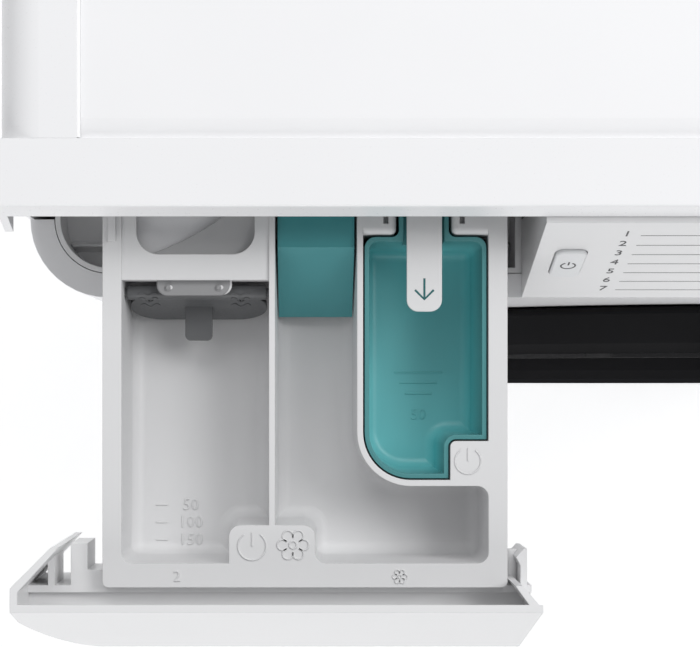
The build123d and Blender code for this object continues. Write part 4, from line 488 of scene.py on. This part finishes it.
# Programme numbers with their leader lines, and ticks about the dial
panel_face = on_face("control_panel", lean_point + lean_normal * FACE_LIFT, -lean_normal)
dial, dial_reach = (dial_offset, 0), 29 * MM
number_count, number_pitch = 7, 8.4 * MM
number_x, number_size = -62 * MM, 6.2 * MM
leader_x, leader_drop, leader_width = -57 * MM, 1.4 * MM, 0.3 * MM
tick_count, tick_spread = 17, 60
tick_length, tick_width = 2.5 * MM, 0.4 * MM
bm = bmesh.new()
for i in range(number_count):
    line = (number_count - 1 - 2 * i) / 2 * number_pitch
    numeral(bm, panel_face, str(i + 1), (number_x, line), number_size, PRINT)
    leader_end = dial_offset - math.sqrt(dial_reach**2 - line**2)
    leader = [(x, line - leader_drop) for x in (leader_x, leader_end)]
    stroke(bm, panel_face, leader, leader_width, PRINT)
tick_inner = arc(dial, dial_reach - tick_length, -tick_spread, tick_spread, tick_count - 1)
tick_outer = arc(dial, dial_reach, -tick_spread, tick_spread, tick_count - 1)
for tick in zip(tick_inner, tick_outer):
    stroke(bm, panel_face, tick, tick_width, PRINT)
make_piece("programme_marks", bm, "print_grey", "cabinet")

# Digits, their colon and a row of pips in the display
SHOWN = "1045"
SEGMENTS = {"0": "abcdef", "1": "bc", "4": "bcfg", "5": "acdfg"}
SEGMENT_ENDS = {
    "a": ((0, 2), (1, 2)),
    "b": ((1, 2), (1, 1)),
    "c": ((1, 1), (1, 0)),
    "d": ((0, 0), (1, 0)),
    "e": ((0, 1), (0, 0)),
    "f": ((0, 2), (0, 1)),
    "g": ((0, 1), (1, 1)),
}
SEGMENT_GAP = 0.08
segment_width = 1.1 * MM
digit_width, digit_half, digit_pitch = 6.0 * MM, 5.5 * MM, 10.5 * MM
colon_room, colon_half, colon_width = 2.5 * MM, 2.5 * MM, 1.0 * MM
colon_left, colon_right = -0.4 * MM, 0.6 * MM
pip_count, pip_pitch, pip_x = 5, 4.4 * MM, -32 * MM
pip_radius, pip_width = 1.2 * MM, 0.5 * MM
lens_face = on_control("display_lens")
hours = len(SHOWN) // 2
bm = bmesh.new()
for index, digit in enumerate(SHOWN):
    left = (index - hours) * digit_pitch + (colon_room if index >= hours else 0)
    for segment in SEGMENTS[digit]:
        first, last = (Vector(end) for end in SEGMENT_ENDS[segment])
        ends = (first.lerp(last, SEGMENT_GAP), last.lerp(first, SEGMENT_GAP))
        points = [(left + end.x * digit_width, (end.y - 1) * digit_half) for end in ends]
        stroke(bm, lens_face, points, segment_width, PRINT)
for level in (-colon_half, colon_half):
    stroke(bm, lens_face, [(colon_left, level), (colon_right, level)], colon_width, PRINT)
for i in range(pip_count):
    pip = (pip_x, (i - (pip_count - 1) / 2) * pip_pitch)
    ring(bm, lens_face, pip, pip_radius, pip_width, PRINT)
make_piece("display_digits", bm, "print_light", "cabinet")

# Pointer in the dial's groove
pointer_inner, pointer_outer = 10.2 * MM, 17.8 * MM
pointer_width, pointer_depth = 1.1 * MM, 0.25 * MM
bm = bmesh.new()
pointer = [(0, pointer_inner), (0, pointer_outer)]
stroke(bm, on_control("program_knob"), pointer, pointer_width, -pointer_depth)
make_piece("dial_pointer", bm, "print_grey", "program_knob")

# Raised marks of the drawer: fill levels, symbols on the plateau and the corner plate, compartment signs
tray_low, tray_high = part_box("drawer_tray")
tray_top = on_top("drawer_tray")


def in_tray(across, back):
    """A place in the tray, in millimetres from its left front corner."""
    return tray_low[0] + across * MM, tray_low[1] + back * MM


FILL_LEVELS = (("50", 27.0), ("100", 20.5), ("150", 14.0))
fill_left, fill_right, fill_number, fill_size = 16.0, 20.5, 29.0, 6.2 * MM
mark_width, mark_gap = 0.6 * MM, 35
plateau_flower, plateau_flower_radius = in_tray(67.4, 15.1), 5.6 * MM
plateau_sign, plateau_sign_radius, plateau_sign_stem = in_tray(52.9, 14.7), 5.0 * MM, (0, 4.8 * MM)
corner_sign, corner_sign_radius, corner_sign_stem = in_tray(129.3, 44.8), 4.6 * MM, (0, 4.6 * MM)
wash_number, wash_number_size = in_tray(26.4, 3.9), 5.6 * MM
soft_flower, soft_flower_radius, soft_flower_width = in_tray(105.2, 3.9), 2.6 * MM, 0.45 * MM
bm = bmesh.new()
for text, back in FILL_LEVELS:
    stroke(bm, tray_top, [in_tray(fill_left, back), in_tray(fill_right, back)], mark_width, EMBOSS)
    numeral(bm, tray_top, text, in_tray(fill_number, back), fill_size, EMBOSS)
flower(bm, tray_top, plateau_flower, plateau_flower_radius, mark_width, EMBOSS)
for centre, radius, stem in (
    (plateau_sign, plateau_sign_radius, plateau_sign_stem),
    (corner_sign, corner_sign_radius, corner_sign_stem),
):
    open_ring(bm, tray_top, centre, radius, mark_gap, stem, mark_width, EMBOSS)
numeral(bm, tray_top, "2", wash_number, wash_number_size, EMBOSS)
flower(bm, tray_top, soft_flower, soft_flower_radius, soft_flower_width, EMBOSS)
make_piece("tray_marks", bm, "tray_grey", "drawer")

# Grey cap over the flap's clip, with a stud near each end in tiers of (radius, low, high)
clip_half, clip_round, clip_steps = 13.0 * MM, 3.6 * MM, 6
clip_front, clip_back = tray_low[1] + 103.6 * MM, tray_low[1] + 109.2 * MM
clip_foot, clip_edge, clip_crown = -2.2 * MM, 0.2 * MM, 0.6 * MM
clip_taper = 0.97
STUD_TIERS = ((1.3 * MM, 0.5 * MM, 1.1 * MM), (0.8 * MM, 1.0 * MM, 1.5 * MM))
stud_offset, stud_back = 9 * MM, 2.6 * MM
stud_taper, stud_sides = 0.8, 12
clip_x = middle("liquid_flap").x
clip_spot = (clip_x, (clip_front + clip_back) / 2, tray_high[2] + RAY_LIFT)
clip_top = hit("drawer_tray", clip_spot, (0, 0, -1))[0].z


def on_clip(x, y, height):
    """A point at a height above the surface under the cap."""
    return Vector((x, y, clip_top + height))


clip_outline = [(clip_x - clip_half, clip_back)]
for side, start in ((-1, 180), (1, 270)):
    corner = (clip_x + side * (clip_half - clip_round), clip_front + clip_round)
    clip_outline += arc(corner, clip_round, start, start + 90, clip_steps)
clip_outline += [(clip_x + clip_half, clip_back)]
narrowed = [(clip_x + (x - clip_x) * clip_taper, y) for x, y in clip_outline]
bm = bmesh.new()
skin(bm, [
    level_ring(bm, clip_outline, clip_top + clip_foot),
    level_ring(bm, clip_outline, clip_top + clip_edge),
    level_ring(bm, narrowed, clip_top + clip_crown),
])
for side in (-1, 1):
    stud = (clip_x + side * stud_offset, clip_front + stud_back)
    for radius, low, high in STUD_TIERS:
        turned(bm, on_clip, stud, [(radius, low), (radius * stud_taper, high)], stud_sides)
make_piece("clip_cap", bm, "clip_grey", "drawer")

# Painted light under the bridge's window: a pale curved sheet, in white, that stands in for the light
# falling through the window onto the floor below
lit_patch_left, lit_patch_right = tray_low[0] + 8.2 * MM, tray_low[0] + 57.4 * MM
lit_patch_front, lit_patch_back = tray_low[1] + 113 * MM, tray_low[1] + 168 * MM
bridge_inset, bridge_wall = 2 * MM, 4.0 * MM
bridge_spot = (clip_x, lit_patch_front + bridge_inset, tray_high[2] + RAY_LIFT)
bridge_under = hit("drawer_tray", bridge_spot, (0, 0, -1))[0].z - bridge_wall
lit_patch_low, lit_patch_high = bridge_under - 3.2 * MM, bridge_under - 1.5 * MM
lit_patch_wall, lit_patch_steps = 1.2 * MM, 14
bm = bmesh.new()
over, under = {}, {}
for i in range(lit_patch_steps + 1):
    for k in range(lit_patch_steps + 1):
        fall = (i / lit_patch_steps + 1 - k / lit_patch_steps) / 2
        x = lit_patch_left + (lit_patch_right - lit_patch_left) * i / lit_patch_steps
        y = lit_patch_front + (lit_patch_back - lit_patch_front) * k / lit_patch_steps
        z = lit_patch_low + (lit_patch_high - lit_patch_low) * (1 - fall) ** 2
        over[i, k] = bm.verts.new((x, y, z))
        under[i, k] = bm.verts.new((x, y, z - lit_patch_wall))
for i in range(lit_patch_steps):
    for k in range(lit_patch_steps):
        corners = ((i, k), (i + 1, k), (i + 1, k + 1), (i, k + 1))
        bm.faces.new([over[corner] for corner in corners])
        bm.faces.new([under[corner] for corner in reversed(corners)])
border = [(0, k) for k in range(lit_patch_steps)]
border += [(i, lit_patch_steps) for i in range(lit_patch_steps)]
border += [(lit_patch_steps, k) for k in range(lit_patch_steps, 0, -1)]
border += [(i, 0) for i in range(lit_patch_steps, 0, -1)]
for a, b in zip(border, border[1:] + border[:1]):
    bm.faces.new((over[a], over[b], under[b], under[a]))
# The white colour of this sheet paints the light that falls through the window
lit_patch = make_piece("painted_light_patch", bm, "white_plastic", "drawer")
lit_patch.data.shade_smooth()

# Painted shadow: a grey sheet with a curved edge over the right half of the pale sheet, standing in for the
# shadow that the bridge casts there
shadow_sheet_top, shadow_sheet_wall = bridge_under - 0.2 * MM, 1.0 * MM
shadow_sheet_tip = Vector((tray_low[0] + 53 * MM, tray_low[1] + 140.5 * MM))
shadow_sheet_end = Vector((tray_low[0] + 10.5 * MM, tray_low[1] + 116.6 * MM))
shadow_sheet_bend, shadow_sheet_steps = 3.0 * MM, 12
bend_way = Vector((shadow_sheet_tip.y - shadow_sheet_end.y, shadow_sheet_end.x - shadow_sheet_tip.x)).normalized()
shadow_sheet_outline = [(lit_patch_right, lit_patch_front), (lit_patch_right, lit_patch_back), (shadow_sheet_tip.x, lit_patch_back)]
for i in range(shadow_sheet_steps + 1):
    along = i / shadow_sheet_steps
    sag = shadow_sheet_bend * 4 * along * (1 - along)
    spot = shadow_sheet_tip.lerp(shadow_sheet_end, along) + bend_way * sag
    shadow_sheet_outline.append((spot.x, spot.y))
shadow_sheet_outline.append((shadow_sheet_end.x, lit_patch_front))
bm = bmesh.new()
skin(bm, [level_ring(bm, shadow_sheet_outline, shadow_sheet_top - shadow_sheet_wall), level_ring(bm, shadow_sheet_outline, shadow_sheet_top)])
make_piece("painted_shadow_sheet", bm, "painted_shadow_grey", "drawer")

# Fill lines, from the back with their half lengths, and their number on the floor of the dosing cup
CUP_LINES = ((38.0 * MM, 9.0 * MM), (34.0 * MM, 7.0 * MM), (30.0 * MM, 5.0 * MM))
cup_line_width = 0.7 * MM
cup_number_back, cup_number_size = 22.0 * MM, 6.0 * MM
cup_x, cup_front = middle("dosing_tray").x, cup_low[1]
cup_top = on_top("dosing_tray")
bm = bmesh.new()
for back, half in CUP_LINES:
    line = [(cup_x + side * half, cup_front + back) for side in (-1, 1)]
    stroke(bm, cup_top, line, cup_line_width, EMBOSS)
numeral(bm, cup_top, "50", (cup_x, cup_front + cup_number_back), cup_number_size, EMBOSS)
make_piece("cup_marks", bm, "teal_cup", "drawer")

# Waves on both ends of the liquid flap
wave_rows, wave_pitch, wave_inset = 3, 1.7 * MM, 3.4 * MM
wave_offset, wave_length, wave_height = 16.5 * MM, 7.0 * MM, 0.45 * MM
wave_turns, wave_steps, wave_width = 1.5, 12, 0.5 * MM
flap_x = middle("liquid_flap").x
flap_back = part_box("liquid_flap")[1][1]
flap_top = on_top("liquid_flap")
bm = bmesh.new()
for side in (-1, 1):
    for row in range(wave_rows):
        wave = []
        for i in range(wave_steps + 1):
            along = (i / wave_steps - 0.5) * wave_length
            lift = wave_height * math.sin(i / wave_steps * math.tau * wave_turns)
            back = wave_inset + wave_pitch * row
            wave.append((flap_x + side * wave_offset + along, flap_back - back + lift))
        stroke(bm, flap_top, wave, wave_width, EMBOSS)
make_piece("flap_marks", bm, "flap_grey", "liquid_flap")

# Screws of the rear cover, their profile as (radius, height) in millimetres
SCREW = [(3.6, -0.4), (3.8, 0.4), (3.4, 1.3), (2.2, 1.8), (2.0, 1.8), (1.8, 0.7)]
screw_profile = [(radius * MM, height * MM) for radius, height in SCREW]
screw_inset, screw_end = 9 * MM, 40 * MM
screw_sides, screw_lobes = 12, 0.7
rear_low, rear_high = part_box("rear_cover")
behind = cad_box[1][1] + FACE_LIFT
bm = bmesh.new()
for x in (rear_low[0] + screw_inset, rear_high[0] - screw_inset):
    for z in (rear_low[2] + screw_end, middle("rear_cover").z, rear_high[2] - screw_end):
        face = on_face("rear_cover", (x, behind, z), (0, -1, 0), (-1, 0, 0))
        turned(bm, face, (0, 0), screw_profile, screw_sides, screw_lobes)
make_piece("cover_screws", bm, "steel", "cabinet")

# Places in front of the door
door_low, door_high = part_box("door_cover")
door_radius = (door_high[0] - door_low[0]) / 2
door_centre = middle("door_cover")
door_sides = 96


def before_door(across, up, height):
    """A point in front of the door, by its distance from the dome's foremost point."""
    return Vector((door_centre.x + across, door_low[1] - height, door_centre.z + up))


# Matt bezel round the door glass, as (out from the cover's edge, back from the front) in millimetres
BEZEL = [(-0.5, 10.0), (-0.5, 4.1), (-3.5, 0.4), (-40.0, 0.0), (-48.0, 2.2), (-54.0, 6.1)]
bezel_lift = 1.2 * MM
bezel_profile = [(door_radius + out * MM, bezel_lift - back * MM) for out, back in BEZEL]
bm = bmesh.new()
turned(bm, before_door, (0, 0), bezel_profile, door_sides, closed=True)
make_piece("door_bezel", bm, "bezel_black", "door")

# Smooth glossy pane over the door's dome, inside the bezel
pane_radius, pane_rings, pane_lift = 154 * MM, 12, 0.25 * MM
pane_profile = []
for i in range(pane_rings):
    radius = pane_radius * (1 - i / pane_rings)
    point, _ = hit("door_cover", before_door(radius, 0, 2 * RAY_LIFT), (0, 1, 0))
    pane_profile.append((radius, door_low[1] - point.y + pane_lift))
pane_profile.insert(0, (pane_radius, pane_profile[0][1] - pane_lift))
bm = bmesh.new()
turned(bm, before_door, (0, 0), pane_profile, door_sides)
pane = make_piece("door_pane", bm, "door_glass", "door")
pane.data.shade_smooth()

# Strip that fills the seam between the drawer's surround and the panel
surround_low, surround_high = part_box("drawer_surround")
seam_drop, seam_depth = 0.1 * MM, 4.0 * MM
seam_high = (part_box("control_panel")[0][0], surround_high[1], surround_high[2] - seam_drop)
seam_low = (surround_high[0], surround_low[1], seam_high[2] - seam_depth)
bm = bmesh.new()
for vert in bmesh.ops.create_cube(bm, size=1.0)["verts"]:
    vert.co = [(low + high) / 2 + c * (high - low) for c, low, high in zip(vert.co, seam_low, seam_high)]
make_piece("seam_strip", bm, "surround_grey", "cabinet")

# Rounded bead along the seam between the worktop's frame and its board, in a whiter colour than the worktop
# that paints a highlight line along it
board_low, board_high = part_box("worktop_board")
bead_radius, bead_points = 0.9 * MM, 9
bead_inset, bead_drop = 0.3 * MM, 0.1 * MM
bead_front = board_low[1] + bead_inset
bead_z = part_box("worktop_frame")[1][2] - bead_radius - bead_drop
bead_path = [
    (board_low[0], bead_front),
    (board_low[0], board_high[1]),
    (board_high[0], board_high[1]),
    (board_high[0], bead_front),
]
bead_outward = [(-1, 0), (-1, 1), (1, 1), (1, 0)]
bm = bmesh.new()
rings = []
for (x, y), (out_x, out_y) in zip(bead_path, bead_outward):
    row = []
    for i in range(bead_points):
        turn = math.pi * i / (bead_points - 1)
        off, rise = bead_radius * math.cos(turn), bead_radius * math.sin(turn)
        row.append(bm.verts.new((x + out_x * off, y + out_y * off, bead_z + rise)))
    rings.append(row)
skin(bm, rings)
make_piece("worktop_bead", bm, "bead_highlight_white", "cabinet")

# Pressed holes of the drum, their profile as (radius, height) in millimetres
HOLE = [(2.9, -0.2), (2.7, 0.25), (2.1, 0.45), (1.7, 0.1)]
hole_profile = [(radius * MM, height * MM) for radius, height in HOLE]
hole_rows, hole_first, hole_pitch = 9, 60 * MM, 22 * MM
holes_round, hole_sides = 36, 8
drum_low, drum_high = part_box("drum")
drum_middle = middle("drum")
drum_wall = 1.5 * MM
drum_inner = (drum_high[0] - drum_low[0]) / 2 - drum_wall


def in_drum(turn, along):
    """A map from (around, along, inward) to a point at the drum's inner wall."""
    inward = Vector((-math.cos(turn), 0, -math.sin(turn)))
    foot = Vector((drum_middle.x, along, drum_middle.z)) - inward * drum_inner
    side = inward.cross(Vector((0, 1, 0)))

    def place(u, v, height):
        return foot + side * u + Vector((0, v, 0)) + inward * height

    return place


bm = bmesh.new()
for row in range(hole_rows):
    for i in range(holes_round):
        turn = math.tau * (i + row % 2 / 2) / holes_round
        place = in_drum(turn, drum_low[1] + hole_first + hole_pitch * row)
        turned(bm, place, (0, 0), hole_profile, hole_sides)
make_piece("drum_holes", bm, "steel", "drum")

# Camera straight above the front left corner, as in the photograph
camera_data = bpy.data.cameras.new("camera")
camera_data.lens = 84.96
camera_data.sensor_width = 36.0
camera_data.sensor_fit = "HORIZONTAL"
camera_data.shift_x = 0.0657
camera_data.shift_y = 0.095
camera = bpy.data.objects.new("camera", camera_data)
camera.location = (-0.195, -0.241, 1.410)
bpy.context.scene.collection.objects.link(camera)
bpy.context.scene.camera = camera

# White surroundings and soft lights: place, target, size in metres, power in watts
SKY = {"Color": (0.97, 0.98, 1, 1), "Strength": 0.37}
LIGHTS = {
    "key": ((1.5, 0.7, 2.8), (-0.2, -0.25, 0.8), 1.3, 34.0),
    "front": ((-0.5, -2.2, 1.5), (-0.15, -0.25, 0.8), 1.4, 18.0),
    "rear": ((-0.3, 1.6, 2.7), (-0.15, -0.1, 0.8), 1.6, 22.0),
}
world = bpy.data.worlds.new("studio")
world.use_nodes = True
set_inputs(world.node_tree.nodes["Background"], SKY)
bpy.context.scene.world = world
for name, (place, target, size, power) in LIGHTS.items():
    light = bpy.data.lights.new(name, "AREA")
    light.shape = "SQUARE"
    light.size = size
    light.energy = power
    lamp = bpy.data.objects.new(name, light)
    lamp.location = place
    lamp.rotation_euler = (Vector(target) - Vector(place)).to_track_quat("-Z", "Y").to_euler()
    bpy.context.scene.collection.objects.link(lamp)

# Pale floor that glows a little, just under the feet
FLOOR_GLOW = {"Emission Color": (1, 1, 1, 1), "Emission Strength": 0.38}
floor_half, floor_gap = 6.0, 0.5 * MM
floor_mesh = bpy.data.meshes.new("floor")
bm = bmesh.new()
bmesh.ops.create_grid(bm, x_segments=1, y_segments=1, size=floor_half)
bm.to_mesh(floor_mesh)
bm.free()
set_inputs(looks["floor_look"].node_tree.nodes["Principled BSDF"], FLOOR_GLOW)
floor_mesh.materials.append(looks["floor_look"])
floor = bpy.data.objects.new("floor", floor_mesh)
floor.location.z = -floor_gap
bpy.context.scene.collection.objects.link(floor)

bpy.context.scene.view_settings.view_transform = "Standard"
